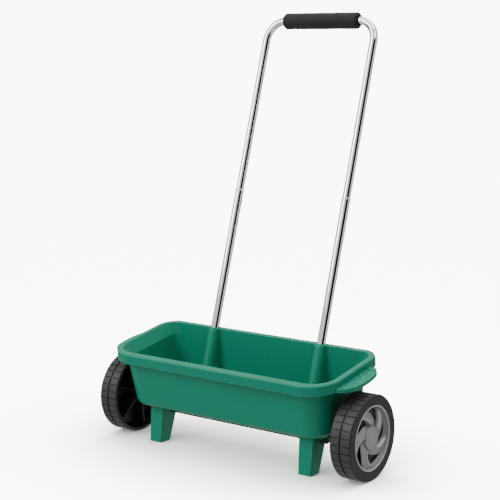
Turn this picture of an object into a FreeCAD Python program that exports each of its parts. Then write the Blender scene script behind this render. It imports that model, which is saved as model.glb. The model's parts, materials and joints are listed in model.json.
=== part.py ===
import FreeCAD, Part
import math
import os
import re
import Sketcher

# Walk-behind garden drop spreader: a moulded bin on two wheels, a finned agitator on the
# drive axle, a perforated dosing slide under the trough and a two-piece push handle.
#
# Three frames are used, each a Placement bound to the sheet:
#   level   origin on the axle's centre, Z square to the bin's rim (the way it is held in use)
#   handle  origin where the legs cross the rim plane, Z up along the legs
#   ground  the finished part's own frame: Z up, origin on the ground under the middle
# At rest the bin leans forward on its two feet by rest_tilt.

doc = FreeCAD.newDocument("garden_spreader")
dims = doc.addObject("Spreadsheet::Sheet", "dims")

DRIVING = [
    ("overall_width", 589.2, "outer face of one wheel to the other"),
    ("wheel_diameter", 160.0, "over the tread lugs"),
    ("tyre_width", 43.0, "wheel, face to face"),
    ("lug_height", 2.2, "tread lugs above the band between them"),
    ("lug_gap", 2.0, "slot between two lugs"),
    ("lug_count", 36, "lugs round one row"),
    ("tread_groove", 3.4, "groove between the two rows of lugs"),
    ("shoulder", 2.0, "chamfer at the tread's edges"),
    ("wheel_wall", 4.0, "wall of the wheel moulding"),
    ("hub_recess", 13.0, "depth of the dish that holds the hub cover"),
    ("hub_radius", 12.0, "wheel's own hub"),
    ("cover_radius", 61.3, "grey hub cover"),
    ("cover_ring", 3.6, "raised ring round the hub cover"),
    ("cover_sheet", 2.0, "thickness of the hub cover's disc"),
    ("cover_gap", 0.4, "hub cover to the wheel's dish, all round"),
    ("dome_radius", 22.0, "dome over the axle's end"),
    ("dome_bulge", 4.0, "crown of that dome"),
    ("blade_width", 7.0, "curved blade of the hub cover"),
    ("blade_count", 5, "blades round the hub cover"),
    ("rim_length", 513.0, "bin's rim, end to end"),
    ("rim_depth", 202.6, "bin's rim, front to back"),
    ("rim_setback", 87.2, "rim's front edge ahead of the axle"),
    ("rim_height", 119.7, "rim plane above the axle"),
    ("rest_tilt", 9.1, "degrees that the bin leans forward at rest"),
    ("rim_band", 19.0, "turned-down edge of the rim"),
    ("rim_front_radius", 58.0, "rim's front corners"),
    ("rim_back_radius", 38.0, "rim's back corners"),
    ("rim_edge_radius", 3.0, "rounding along the rim's top edge"),
    ("front_flange", 15.5, "width of the rim along the front"),
    ("side_flange", 11.0, "width of the rim at the ends"),
    ("back_flange", 12.0, "width of the rim along the back"),
    ("bin_wall", 2.8, "wall of the bin moulding"),
    ("flare_drop", 23.0, "height of the flared shoulder under the rim at the ends"),
    ("flare_reach", 14.0, "how far that shoulder leans outward"),
    ("front_draft", 4.7, "degrees that the front wall slopes in"),
    ("end_draft", 4.0, "degrees that the end walls slope in"),
    ("back_draft", 10.2, "degrees that the back wall slopes in"),
    ("floor_height", 3.0, "bin's outer floor above the axle"),
    ("floor_radius", 15.0, "rounding round the bin's floor"),
    ("ledge_length", 122.0, "ribbed grip ledge at each end"),
    ("ledge_reach", 28.5, "how far a ledge stands out from the rim"),
    ("ledge_drop", 13.0, "ledge below the rim plane"),
    ("ledge_skirt", 7.0, "depth of a ledge's edge"),
    ("ledge_corner", 31.0, "length of a ledge's rounded corner"),
    ("ledge_rib_count", 12, "ribs across a ledge"),
    ("ledge_rib_width", 2.2, "width of one rib"),
    ("ledge_rib_height", 1.0, "height of one rib"),
    ("trough_radius", 12.5, "inside of the trough round the agitator"),
    ("trough_wall", 2.5, "wall of the trough"),
    ("trough_length", 422.0, "inside length of the trough"),
    ("pad_width", 29.0, "flat pad under the trough that the slide runs on"),
    ("pad_drop", 16.5, "pad's face below the axle"),
    ("dosing_hole", 8.0, "diameter of the dosing holes"),
    ("dosing_pitch", 25.0, "spacing of the dosing holes"),
    ("dosing_count", 17, "dosing holes along the trough"),
    ("slide_width", 22.4, "dosing slide, front to back"),
    ("slide_thickness", 1.5, "dosing slide's sheet"),
    ("slide_length", 440.0, "dosing slide, end to end"),
    ("slide_travel", 10.0, "closed to fully open"),
    ("slide_gap", 0.3, "play round the dosing slide"),
    ("rail_lip", 1.6, "rail's lip under the slide"),
    ("rail_flange", 5.0, "rail outside the pad"),
    ("rail_screw", 3.0, "screws that hold the rails"),
    ("rail_gap_length", 64.0, "break in the back rail for the slide's tab"),
    ("lever_arm", 40.0, "lever's pivot to the slide's pin"),
    ("lever_reach", 66.0, "lever's pivot to its thumb end"),
    ("lever_thickness", 3.0, "lever plate"),
    ("lever_width", 15.0, "lever plate"),
    ("lever_pin", 5.0, "diameter of the pin on the slide's tab"),
    ("pivot_diameter", 6.0, "lever's shoulder screw"),
    ("axle_diameter", 8.0, "drive axle"),
    ("axle_play", 0.08, "radial play of the axle in its bushes"),
    ("bush_diameter", 12.0, "bearing bush in the bin's end boss"),
    ("bush_flange", 2.0, "bearing bush's flange"),
    ("boss_radius", 10.5, "boss that holds a bush"),
    ("boss_end", 241.0, "boss's outer face from the middle"),
    ("agitator_radius", 10.6, "agitator's fins"),
    ("agitator_length", 408.0, "agitator, end to end"),
    ("agitator_fin", 2.6, "thickness of a fin"),
    ("agitator_sleeve", 6.0, "radius of the agitator's sleeve"),
    ("drive_pin_diameter", 4.0, "cross pin that drives the right wheel"),
    ("drive_pin_length", 18.0, "cross pin"),
    ("split_pin_diameter", 2.0, "split pin at each end of the axle"),
    ("leg_spacing", 255.2, "handle legs, centre to centre"),
    ("leg_inset", 12.0, "legs ahead of the rim's back edge"),
    ("leg_depth", 97.0, "length of leg below the rim plane"),
    ("handle_lean", 17.3, "degrees that the handle leans back at rest"),
    ("handle_height", 826.6, "top bar's centre above the ground"),
    ("joint_height", 487.1, "joint in the legs above the ground"),
    ("upper_tube", 16.0, "upper handle tube"),
    ("lower_tube", 17.0, "lower handle tubes"),
    ("tube_wall", 1.0, "wall of every tube"),
    ("spigot_play", 0.1, "radial play of the upper tube's spigots"),
    ("spigot_length", 45.0, "how deep the upper handle enters the lower tubes"),
    ("bend_radius", 40.0, "handle's two bends, to the tube's centre"),
    ("grip_diameter", 33.6, "foam grip"),
    ("grip_length", 173.0, "foam grip"),
    ("grip_edge", 4.0, "rounding at the grip's ends"),
    ("pocket_wall", 2.5, "wall of the leg pockets"),
    ("pocket_play", 0.3, "leg in its pocket, all round"),
    ("leg_screw", 5.0, "screws that hold the legs"),
    ("leg_screw_drop", 85.0, "those screws below the rim plane, along the leg"),
    ("joint_screw", 4.0, "screws at the joint in the legs"),
    ("foot_spacing", 355.0, "front feet, centre to centre"),
    ("foot_width", 29.4, "a foot's sole, along the axle"),
    ("foot_front", 47.0, "sole's front edge ahead of the axle"),
    ("foot_back", 17.9, "sole's back edge ahead of the axle"),
    ("foot_front_draft", 4.3, "degrees that a foot's front face leans"),
    ("foot_back_draft", 18.5, "degrees that its back face leans"),
    ("foot_side_draft", 1.6, "degrees that its sides lean"),
    ("foot_wall", 3.0, "wall of a foot moulding"),
    ("foot_screw", 4.0, "screw that holds a foot"),
]

for row, (alias, size, note) in enumerate(DRIVING, start=1):
    dims.set(f"A{row}", note)
    dims.set(f"B{row}", str(size))
    dims.setAlias(f"B{row}", alias)
doc.recompute()

NAMES = {alias for alias, size, note in DRIVING}


def bound(formula):
    """The formula as another object's expression: each size's name gets its sheet."""
    return re.sub(r"[a-z_]+", lambda m: "dims." + m.group() if m.group() in NAMES else m.group(), formula)


def value(formula):
    return float(dims.evalExpression(formula))


# ---------------------------------------------------------------- places worked out from the sizes
AXLE_HEIGHT = "(wheel_diameter / 2)"
WHEEL_OUTER = "(overall_width / 2)"
WHEEL_INNER = "(overall_width / 2 - tyre_width)"
LEG_X = "(leg_spacing / 2)"
RIM_BACK = "(rim_depth - rim_setback)"
RIM_MIDDLE = "(rim_depth / 2 - rim_setback)"
LEG_FOOT = f"({RIM_BACK} - leg_inset)"
LEG_Y = f"({LEG_FOOT} * cos(rest_tilt) - rim_height * sin(rest_tilt))"
LEG_Z = f"({AXLE_HEIGHT} + {LEG_FOOT} * sin(rest_tilt) + rim_height * cos(rest_tilt))"
TOP_BAR = f"((handle_height - {LEG_Z}) / cos(handle_lean))"
JOINT = f"((joint_height - {LEG_Z}) / cos(handle_lean))"
FRONT_EDGE = (
    "((rim_setback - rim_edge_radius) * cos(rest_tilt)"
    " + (rim_height - rim_edge_radius) * sin(rest_tilt) + rim_edge_radius)"
)
BACK_EDGE = f"({LEG_Y} + {TOP_BAR} * sin(handle_lean) + grip_diameter / 2)"
AXLE_Y = f"(({FRONT_EDGE} - {BACK_EDGE}) / 2)"
SPIGOT_OUTER = "(lower_tube / 2 - tube_wall - spigot_play)"
SPIGOT_BORE = f"(min({SPIGOT_OUTER}; upper_tube / 2) - tube_wall)"
# the neck always reaches the upper tube's wall, whichever of the two tubes is the wider
SPIGOT_NECK = f"(max({SPIGOT_OUTER}; upper_tube / 2 - tube_wall / 2))"
NECK_HEIGHT = 3
PAD_FACE = "(0 - pad_drop)"
SLIDE_TOP = f"({PAD_FACE} - slide_gap / 2)"
SLIDE_BOTTOM = f"({SLIDE_TOP} - slide_thickness)"
RAIL_BOTTOM = f"({SLIDE_BOTTOM} - slide_gap / 2 - rail_lip)"
LEVER_TOP = f"({RAIL_BOTTOM} - slide_gap)"
PIN_Y = "(pad_width / 2 + slide_gap + lever_pin / 2 + 7)"
PIVOT_Y = f"({PIN_Y} + lever_arm)"
RAIL_SCREW_X = [f"(dosing_pitch * {share})" for share in (-5.5, -2.5, 2.5, 5.5)]
BORE = "(axle_diameter / 2 + axle_play)"

LEVEL = f"placement(vector(0; {AXLE_Y}; {AXLE_HEIGHT}); rotation(vector(1; 0; 0); rest_tilt))"
HANDLE = f"placement(vector(0; {AXLE_Y} + {LEG_Y}; {LEG_Z}); rotation(vector(1; 0; 0); 0 - handle_lean))"

subparts = []


def finish(thing, label, placement):
    """Name a sub-part and put it in its place."""
    thing.Label = label
    thing.setExpression("Placement", bound(placement))
    subparts.append(thing)
    return thing


def bind(thing, **sizes):
    for name, formula in sizes.items():
        thing.setExpression(name, bound(str(formula)))


# ---------------------------------------------------------------- sketch helpers
def origin_plane(body, role):
    return next(f for f in body.Origin.OriginFeatures if f.Role == role)


def new_sketch(body, name, role="XY_Plane", height=None):
    sketch = body.newObject("Sketcher::SketchObject", name)
    sketch.AttachmentSupport = (origin_plane(body, role), [""])
    sketch.MapMode = "FlatFace"
    if height is not None:
        bind(sketch, **{"AttachmentOffset.Base.z": height})
    return sketch


def pin_down(sketch, geometry, point, place):
    """Hold one point of the sketch at two formulas, measured from the sketch's origin."""
    for kind, axis, formula in (("DistanceX", -2, place[0]), ("DistanceY", -1, place[1])):
        size = value(str(formula))
        if abs(size) < 1e-9:
            sketch.addConstraint(Sketcher.Constraint("PointOnObject", geometry, point, axis))
            continue
        index = sketch.addConstraint(Sketcher.Constraint(kind, -1, 1, geometry, point, size))
        sketch.setExpression(f"Constraints[{index}]", bound(str(formula)))


def draw_outline(sketch, corners):
    """A closed outline of straight lines through the corners, each corner held by its formulas."""
    points = [FreeCAD.Vector(value(str(x)), value(str(y)), 0) for x, y in corners]
    first = sketch.GeometryCount
    count = len(points)
    for i, point in enumerate(points):
        sketch.addGeometry(Part.LineSegment(point, points[(i + 1) % count]), False)
    for i in range(count):
        after = first + (i + 1) % count
        sketch.addConstraint(Sketcher.Constraint("Coincident", first + i, 2, after, 1))
        pin_down(sketch, first + i, 1, corners[i])


def draw_circle(sketch, centre, radius):
    place = FreeCAD.Vector(value(str(centre[0])), value(str(centre[1])), 0)
    circle = sketch.addGeometry(Part.Circle(place, FreeCAD.Vector(0, 0, 1), value(str(radius))), False)
    pin_down(sketch, circle, 3, centre)
    index = sketch.addConstraint(Sketcher.Constraint("Radius", circle, value(str(radius))))
    sketch.setExpression(f"Constraints[{index}]", bound(str(radius)))


def draw_rectangle(sketch, low, high):
    draw_outline(sketch, [low, (high[0], low[1]), high, (low[0], high[1])])


def new_body(name):
    return doc.addObject("PartDesign::Body", name)


def pad(body, sketch, name, length, middle=False, backward=False):
    feature = body.newObject("PartDesign::Pad", name)
    feature.Profile = sketch
    feature.SideType = "Symmetric" if middle else "One side"
    feature.Reversed = backward
    bind(feature, Length=length)
    doc.recompute()
    return feature


def pocket(body, sketch, name, length, middle=False, backward=False):
    """Cut the sketch's shape away; the solid must lose volume, or the cut points the wrong way."""
    before = body.Shape.Volume
    feature = body.newObject("PartDesign::Pocket", name)
    feature.Profile = sketch
    feature.SideType = "Symmetric" if middle else "One side"
    feature.Reversed = backward
    bind(feature, Length=length)
    doc.recompute()
    if body.Shape.Volume > before - 1e-3:
        raise RuntimeError(f"{body.Name}.{name} cuts nothing")
    return feature


def polar(body, feature, name, count, role="X_Axis"):
    pattern = body.newObject("PartDesign::PolarPattern", name)
    pattern.Originals = [feature]
    pattern.Axis = (origin_plane(body, role), [""])
    bind(pattern, Occurrences=count)
    body.Tip = pattern
    doc.recompute()
    return pattern


def turned(name, profile, label, placement):
    """A piece turned about the X axis from its half profile, given as (x, radius) corners."""
    body = new_body(name)
    sketch = new_sketch(body, f"{name}_profile")
    draw_outline(sketch, profile)
    revolution = body.newObject("PartDesign::Revolution", f"{name}_turned")
    revolution.Profile = sketch
    revolution.ReferenceAxis = (sketch, ["H_Axis"])
    revolution.Angle = 360
    doc.recompute()
    return finish(body, label, placement)


# ---------------------------------------------------------------- primitive helpers
def rod(name, radius, length, centre, direction="z"):
    """A Part cylinder of a bound size, centred lengthwise on a point, along x, y or z."""
    cylinder = doc.addObject("Part::Cylinder", name)
    bind(cylinder, Radius=radius, Height=length)
    x, y, z = (str(c) for c in centre)
    half = f"({length}) / 2"
    if direction == "x":
        spot, turn = (f"{x} - {half}", y, z), "rotation(vector(0; 1; 0); 90)"
    elif direction == "y":
        spot, turn = (x, f"{y} + {half}", z), "rotation(vector(1; 0; 0); 90)"
    else:
        spot, turn = (x, y, f"{z} - {half}"), "rotation(vector(0; 0; 1); 0)"
    place = f"placement(vector({spot[0]}; {spot[1]}; {spot[2]}); {turn})"
    cylinder.setExpression("Placement", bound(place))
    return cylinder


def fuse(name, pieces):
    joined = doc.addObject("Part::MultiFuse", name)
    joined.Shapes = pieces
    return joined


def cut(name, base, tools):
    result = doc.addObject("Part::Cut", name)
    result.Base = base
    result.Tool = tools[0] if len(tools) == 1 else fuse(f"{name}_tools", tools)
    return result


def group(name, pieces, label, placement):
    """Identical fasteners as one sub-part of separate solids."""
    compound = doc.addObject("Part::Compound", name)
    compound.Links = pieces
    return finish(compound, label, placement)


def ring_of(name, outer, inner, length, centre, direction="x"):
    """A tube or washer of bound sizes."""
    return cut(
        name,
        rod(f"{name}_outer", outer, length, centre, direction),
        [rod(f"{name}_bore", inner, f"({length}) + 2", centre, direction)],
    )


def side(sign, formula):
    """The formula on the right side, or its opposite on the left."""
    return formula if sign > 0 else f"(0 - ({formula}))"


SIDES = (("left", -1), ("right", 1))

# ---------------------------------------------------------------- wheels and hub covers
DISH = f"({WHEEL_OUTER} - hub_recess)"
WEB = f"({DISH} - wheel_wall)"
HUB_FACE = f"({WHEEL_INNER} + 2)"
DISH_RADIUS = "(cover_radius + cover_gap)"
LUG_ROOT = "(wheel_diameter / 2 - lug_height)"
WHEEL_MIDDLE = f"({WHEEL_OUTER} - tyre_width / 2)"
PIN_X = f"({HUB_FACE} + drive_pin_diameter / 2 + 0.3)"


def make_wheel(name, sign, bore):
    crest = "wheel_diameter / 2"
    hollow = f"{DISH_RADIUS} + wheel_wall"
    inside = f"{LUG_ROOT} - wheel_wall"
    profile = [
        (WHEEL_INNER, f"{crest} - shoulder"),
        (f"{WHEEL_INNER} + shoulder", crest),
        (f"{WHEEL_MIDDLE} - tread_groove / 2", crest),
        (f"{WHEEL_MIDDLE} - tread_groove / 2", LUG_ROOT),
        (f"{WHEEL_MIDDLE} + tread_groove / 2", LUG_ROOT),
        (f"{WHEEL_MIDDLE} + tread_groove / 2", crest),
        (f"{WHEEL_OUTER} - shoulder", crest),
        (WHEEL_OUTER, f"{crest} - shoulder"),
        (WHEEL_OUTER, DISH_RADIUS),
        (DISH, DISH_RADIUS),
        (DISH, bore),
        (HUB_FACE, bore),
        (HUB_FACE, "hub_radius"),
        (WEB, "hub_radius"),
        (WEB, hollow),
        (f"{WHEEL_OUTER} - wheel_wall", hollow),
        (f"{WHEEL_OUTER} - wheel_wall", inside),
        (WHEEL_INNER, inside),
    ]
    body = turned(name, [(side(sign, x), r) for x, r in profile], name, LEVEL)

    sketch = new_sketch(body, f"{name}_gap", "YZ_Plane", side(sign, WHEEL_MIDDLE))
    draw_rectangle(sketch, ("0 - lug_gap / 2", LUG_ROOT), ("lug_gap / 2", f"{crest} + 3"))
    gap = pocket(body, sketch, f"{name}_gap_cut", "tyre_width + 4", middle=True)
    polar(body, gap, f"{name}_gaps", "lug_count")

    sketch = new_sketch(body, f"{name}_rib", "YZ_Plane", side(sign, f"({HUB_FACE} + {WEB}) / 2 + 1"))
    draw_rectangle(sketch, ("0 - 1.3", "hub_radius - 1"), ("1.3", f"{hollow} + 0.5"))
    rib = pad(body, sketch, f"{name}_rib_pad", f"{WEB} - {HUB_FACE} - 1", middle=True)
    polar(body, rib, f"{name}_ribs", "6")

    if sign > 0:
        slot_length = "drive_pin_length / 2 + 0.4"
        slot_depth = "drive_pin_diameter + 0.6"
        sketch = new_sketch(body, f"{name}_slot", "YZ_Plane", f"{HUB_FACE} + ({slot_depth}) / 2 - 0.5")
        draw_rectangle(
            sketch,
            ("0 - drive_pin_diameter / 2 - 0.1", f"0 - ({slot_length})"),
            ("drive_pin_diameter / 2 + 0.1", slot_length),
        )
        pocket(body, sketch, f"{name}_slot_cut", f"{slot_depth} + 1", middle=True)
    return body


def make_cover(name, sign):
    sheet = f"{DISH} + cover_sheet"
    ring_inside = "cover_radius - cover_ring"
    dome_wall = "dome_radius - cover_sheet"
    top = f"{WHEEL_OUTER} - 0.2"
    profile = [
        (DISH, "cover_radius"),
        (f"{top} - 0.8", "cover_radius"),
        (top, "cover_radius - 0.8"),
        (top, f"{ring_inside} + 0.8"),
        (f"{top} - 0.8", ring_inside),
        (sheet, ring_inside),
        (sheet, "dome_radius"),
        (f"{top} - dome_bulge", "dome_radius - 0.6"),
        (f"{top} - dome_bulge * 0.55", "dome_radius * 0.86"),
        (f"{top} - dome_bulge * 0.2", "dome_radius * 0.55"),
        (f"{top} - dome_bulge * 0.04", "dome_radius * 0.25"),
        (top, "0"),
        (f"{top} - cover_sheet", "0"),
        (f"{top} - cover_sheet - dome_bulge * 0.2", "dome_radius * 0.5"),
        (f"{top} - cover_sheet - dome_bulge", f"{dome_wall} - 0.6"),
        (DISH, dome_wall),
    ]
    body = turned(name, [(side(sign, x), r) for x, r in profile], name, LEVEL)

    # one blade: it leaves the dome along one radius and reaches the ring 48 degrees on
    span = "(cover_radius - dome_radius - 1)"
    stations = [(step / 5, f"(dome_radius - 1 + {span} * {step} / 5)") for step in range(6)]
    leading = []
    trailing = []
    for share, radius in stations:
        turn = 56 * share ** 1.3
        leading.append((f"{radius} * sin({turn:.2f})", f"{radius} * cos({turn:.2f})"))
        width = f"blade_width * {1.25 - 0.35 * share:.3f}"
        behind = f"({turn:.2f} - ({width}) / {radius} * 57.3)"
        trailing.append((f"{radius} * sin({behind})", f"{radius} * cos({behind})"))
    outline = leading + trailing[::-1]
    outline = [(side(-sign, y), z) for y, z in outline]
    blade_height = "hub_recess - cover_sheet - 3"
    blade_middle = side(sign, f"{DISH} + cover_sheet + ({blade_height}) / 2 - 0.5")
    sketch = new_sketch(body, f"{name}_blade", "YZ_Plane", blade_middle)
    draw_outline(sketch, outline)
    blade = pad(body, sketch, f"{name}_blade_pad", f"{blade_height} + 1", middle=True)
    polar(body, blade, f"{name}_blades", "blade_count")
    return body


for label, sign in SIDES:
    make_wheel(f"{label}_wheel", sign, "axle_diameter / 2" if sign > 0 else BORE)
    make_cover(f"{label}_hub_cover", sign)

# ---------------------------------------------------------------- axle, agitator and their hardware
AXLE_END = f"({WHEEL_OUTER} - 5)"
WASHER = f"({DISH} + 0.3)"
SPLIT_X = f"({WASHER} + 1.4 + split_pin_diameter / 2 + 0.2)"

axle = turned(
    "axle",
    [
        (f"0 - {AXLE_END}", "0"),
        (f"0 - {AXLE_END}", "axle_diameter / 2 - 0.8"),
        (f"0 - {AXLE_END} + 0.8", "axle_diameter / 2"),
        (f"{AXLE_END} - 0.8", "axle_diameter / 2"),
        (AXLE_END, "axle_diameter / 2 - 0.8"),
        (AXLE_END, "0"),
    ],
    "axle",
    LEVEL,
)
sketch = new_sketch(axle, "axle_cross_holes")
draw_circle(sketch, (PIN_X, "0"), "drive_pin_diameter / 2")
draw_circle(sketch, (SPLIT_X, "0"), "split_pin_diameter / 2")
draw_circle(sketch, (f"0 - {SPLIT_X}", "0"), "split_pin_diameter / 2")
pocket(axle, sketch, "axle_cross_cut", "axle_diameter + 2", middle=True)

agitator = turned(
    "agitator",
    [
        ("0 - agitator_length / 2", "axle_diameter / 2"),
        ("0 - agitator_length / 2", "agitator_sleeve"),
        ("agitator_length / 2", "agitator_sleeve"),
        ("agitator_length / 2", "axle_diameter / 2"),
    ],
    "agitator",
    LEVEL,
)
fin, reach = "agitator_fin / 2", "agitator_radius"
near = "agitator_sleeve - 0.6"
upright = [((f"0 - {fin}", near), (fin, reach)), ((f"0 - {fin}", f"0 - {reach}"), (fin, f"0 - ({near})"))]
for turn in range(2):
    start = "0 - (dosing_count - 1) / 2 * dosing_pitch"
    sketch = new_sketch(agitator, f"paddles_{turn}", "YZ_Plane", start)
    for low, high in upright:
        if turn == 0:
            draw_rectangle(sketch, low, high)
        else:
            draw_rectangle(sketch, low[::-1], high[::-1])
    first = pad(agitator, sketch, f"paddle_pad_{turn}", "dosing_pitch - 9", middle=True)
    row = agitator.newObject("PartDesign::LinearPattern", f"paddle_row_{turn}")
    row.Originals = [first]
    row.Direction = (origin_plane(agitator, "X_Axis"), [""])
    bind(row, Length="(dosing_count - 1) * dosing_pitch", Occurrences="dosing_count")
    agitator.Tip = row
    doc.recompute()

for label, sign in SIDES:
    bush = [
        ("trough_length / 2", BORE),
        ("trough_length / 2", "bush_diameter / 2"),
        ("boss_end", "bush_diameter / 2"),
        ("boss_end", "bush_diameter / 2 + 2.6"),
        ("boss_end + bush_flange", "bush_diameter / 2 + 2.6"),
        ("boss_end + bush_flange", BORE),
    ]
    turned(f"{label}_bush", [(side(sign, x), r) for x, r in bush], f"{label}_bush", LEVEL)
    spacer_span = f"{HUB_FACE} - boss_end - bush_flange - 0.6"
    spacer_middle = f"({HUB_FACE} + boss_end + bush_flange) / 2"
    spacer = ring_of(
        f"{label}_spacer_ring",
        "axle_diameter / 2 + 2.5",
        "axle_diameter / 2",
        spacer_span,
        (side(sign, spacer_middle), "0", "0"),
    )
    group(f"{label}_spacer", [spacer], f"{label}_spacer", LEVEL)
    washer = ring_of(
        f"{label}_washer_ring",
        "axle_diameter / 2 + 5",
        "axle_diameter / 2",
        "1.2",
        (side(sign, f"{WASHER} + 0.6"), "0", "0"),
    )
    group(f"{label}_washer", [washer], f"{label}_washer", LEVEL)
    eye_height = "(7.5 + split_pin_diameter)"
    eye_spot = (side(sign, SPLIT_X), "0", eye_height)
    shank_half = "8"
    shank_spot = (side(sign, SPLIT_X), "0", "0")
    pin = rod(f"{label}_split_shank", "split_pin_diameter / 2", f"{shank_half} * 2", shank_spot)
    eye = ring_of(
        f"{label}_split_eye",
        "split_pin_diameter * 1.5",
        "split_pin_diameter * 0.6",
        "split_pin_diameter * 0.7",
        eye_spot,
    )
    group(f"{label}_split_pin", [fuse(f"{label}_split_fuse", [pin, eye])], f"{label}_split_pin", LEVEL)

cross_pin = rod("drive_pin_rod", "drive_pin_diameter / 2", "drive_pin_length", (PIN_X, "0", "0"))
group("drive_pin", [cross_pin], "drive_pin", LEVEL)

# ---------------------------------------------------------------- bin
# The bin's walls are ruled between rounded plan outlines whose corners differ in radius, so it
# is built here from the same sheet values instead of from one sketch. Level frame, before tilt.


def deg(angle):
    return math.radians(value(angle))


def planform(front, back, half, front_radius, back_radius, height):
    """A closed plan outline at a height: straight sides, own corner radii front and back."""
    def at(x, y):
        return FreeCAD.Vector(x, y, height)

    def corner(start, centre, radius, end, sx, sy):
        knee = radius * math.sqrt(0.5)
        return Part.Arc(at(*start), at(centre[0] + sx * knee, centre[1] + sy * knee), at(*end)).toShape()

    rf, rb = front_radius, back_radius
    points = [
        (-half + rf, front),
        (half - rf, front),
        (half, front + rf),
        (half, back - rb),
        (half - rb, back),
        (-half + rb, back),
        (-half, back - rb),
        (-half, front + rf),
    ]
    def line(i, j):
        return Part.LineSegment(at(*points[i]), at(*points[j])).toShape()

    return Part.Wire([
        line(0, 1),
        corner(points[1], (half - rf, front + rf), rf, points[2], 1, -1),
        line(2, 3),
        corner(points[3], (half - rb, back - rb), rb, points[4], 1, 1),
        line(4, 5),
        corner(points[5], (-half + rb, back - rb), rb, points[6], -1, 1),
        line(6, 7),
        corner(points[7], (-half + rf, front + rf), rf, points[0], -1, -1),
    ])


def rectangle_at(front, back, half, height):
    corners = [(-half, front), (half, front), (half, back), (-half, back)]
    points = [FreeCAD.Vector(x, y, height) for x, y in corners]
    return Part.makePolygon(points + points[:1])


wall = value("bin_wall")
rim_top = value("rim_height")
rim_front = value("0 - rim_setback")
rim_back = value(RIM_BACK)
rim_half = value("rim_length / 2")
floor = value("floor_height")
MOUTH = -9.0
FUNNEL_INSET = 1.0


def bin_outline(height, inset):
    """The bin's outline at a height, moved inward by inset from its outer face."""
    drop = rim_top - height
    shoulder = min(drop, value("flare_drop"))
    below = drop - shoulder
    flare = value("flare_reach") * shoulder / value("flare_drop")
    half = rim_half - value("side_flange") + wall - flare - below * math.tan(deg("end_draft"))
    front = rim_front + value("front_flange") - wall + drop * math.tan(deg("front_draft"))
    back = rim_back - value("back_flange") + wall - drop * math.tan(deg("back_draft"))
    step = shoulder / value("flare_drop")
    front_radius = value("rim_front_radius - front_flange") + wall - 3.5 * step
    back_radius = value("rim_back_radius - back_flange") + wall - 6.5 * step
    return planform(
        front + inset, back - inset, half - inset, front_radius - inset, back_radius - inset, height
    )


def bin_block(inset, top, bottom, edge_radius):
    """The bin as a solid block down to its floor, with the floor's edge rounded."""
    heights = [top, rim_top - value("flare_drop"), bottom]
    outlines = [bin_outline(rim_top, inset)] + [bin_outline(z, inset) for z in heights[1:]]
    solid = Part.makeLoft(outlines, True, True)
    edges = [e for e in solid.Edges if all(abs(v.Z - bottom) < 1e-6 for v in e.Vertexes)]
    solid = solid.makeFillet(edge_radius, edges)
    if top > rim_top:
        neck = Part.Face(bin_outline(rim_top, inset)).extrude(FreeCAD.Vector(0, 0, top - rim_top))
        solid = solid.fuse(neck)
    return solid


def funnel_block(top, bottom, inset):
    """The floor's slope down to the trough."""
    edge = value("floor_radius")
    lower = bin_outline(floor, edge).BoundBox
    mouth = value("trough_radius") + 0.5 - inset
    end = value("trough_length / 2") + wall - inset
    high = rectangle_at(lower.YMin + inset, lower.YMax - inset, lower.XMax - inset, top)
    low = rectangle_at(-mouth, mouth, end, bottom)
    return Part.makeLoft([high, low], True, True)


def cylinder_x(radius, half):
    return Part.makeCylinder(radius, 2 * half, FreeCAD.Vector(-half, 0, 0), FreeCAD.Vector(1, 0, 0))


def box_between(low, high):
    size = [high[i] - low[i] for i in range(3)]
    return Part.makeBox(*size, FreeCAD.Vector(*low))


lean = value("handle_lean + rest_tilt")


def on_leg(shape, x):
    """From leg coordinates (Z up the leg) to the level frame, at the leg on that side."""
    placed = shape.copy()
    placed.rotate(FreeCAD.Vector(0, 0, 0), FreeCAD.Vector(1, 0, 0), -lean)
    placed.translate(FreeCAD.Vector(x, value(LEG_FOOT), rim_top))
    return placed


def channel(half_width, reach, top, bottom, growth):
    """A half-round channel along the leg: round in front, open-ended toward the back."""
    outlines = []
    for height, grow in ((top, 0), (bottom, growth)):
        r = half_width + grow
        def at(x, y, z=height):
            return FreeCAD.Vector(x, y, z)

        outlines.append(Part.Wire([
            Part.LineSegment(at(-r, reach), at(-r, 0)).toShape(),
            Part.Arc(at(-r, 0), at(0, -r), at(r, 0)).toShape(),
            Part.LineSegment(at(r, 0), at(r, reach)).toShape(),
            Part.LineSegment(at(r, reach), at(-r, reach)).toShape(),
        ]))
    return Part.makeLoft(outlines, True, True)


def make_rim():
    lip = value("rim_band")
    edge = value("rim_edge_radius")
    outer = planform(
        rim_front, rim_back, rim_half, value("rim_front_radius"), value("rim_back_radius"), rim_top
    )
    solid = Part.Face(outer).extrude(FreeCAD.Vector(0, 0, -lip))
    edges = [e for e in solid.Edges if all(abs(v.Z - rim_top) < 1e-6 for v in e.Vertexes)]
    solid = solid.makeFillet(edge, edges)
    inner = planform(
        rim_front + wall,
        rim_back - wall,
        rim_half - wall,
        value("rim_front_radius") - wall,
        value("rim_back_radius") - wall,
        rim_top - wall,
    )
    return solid.cut(Part.Face(inner).extrude(FreeCAD.Vector(0, 0, -lip)))


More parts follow.
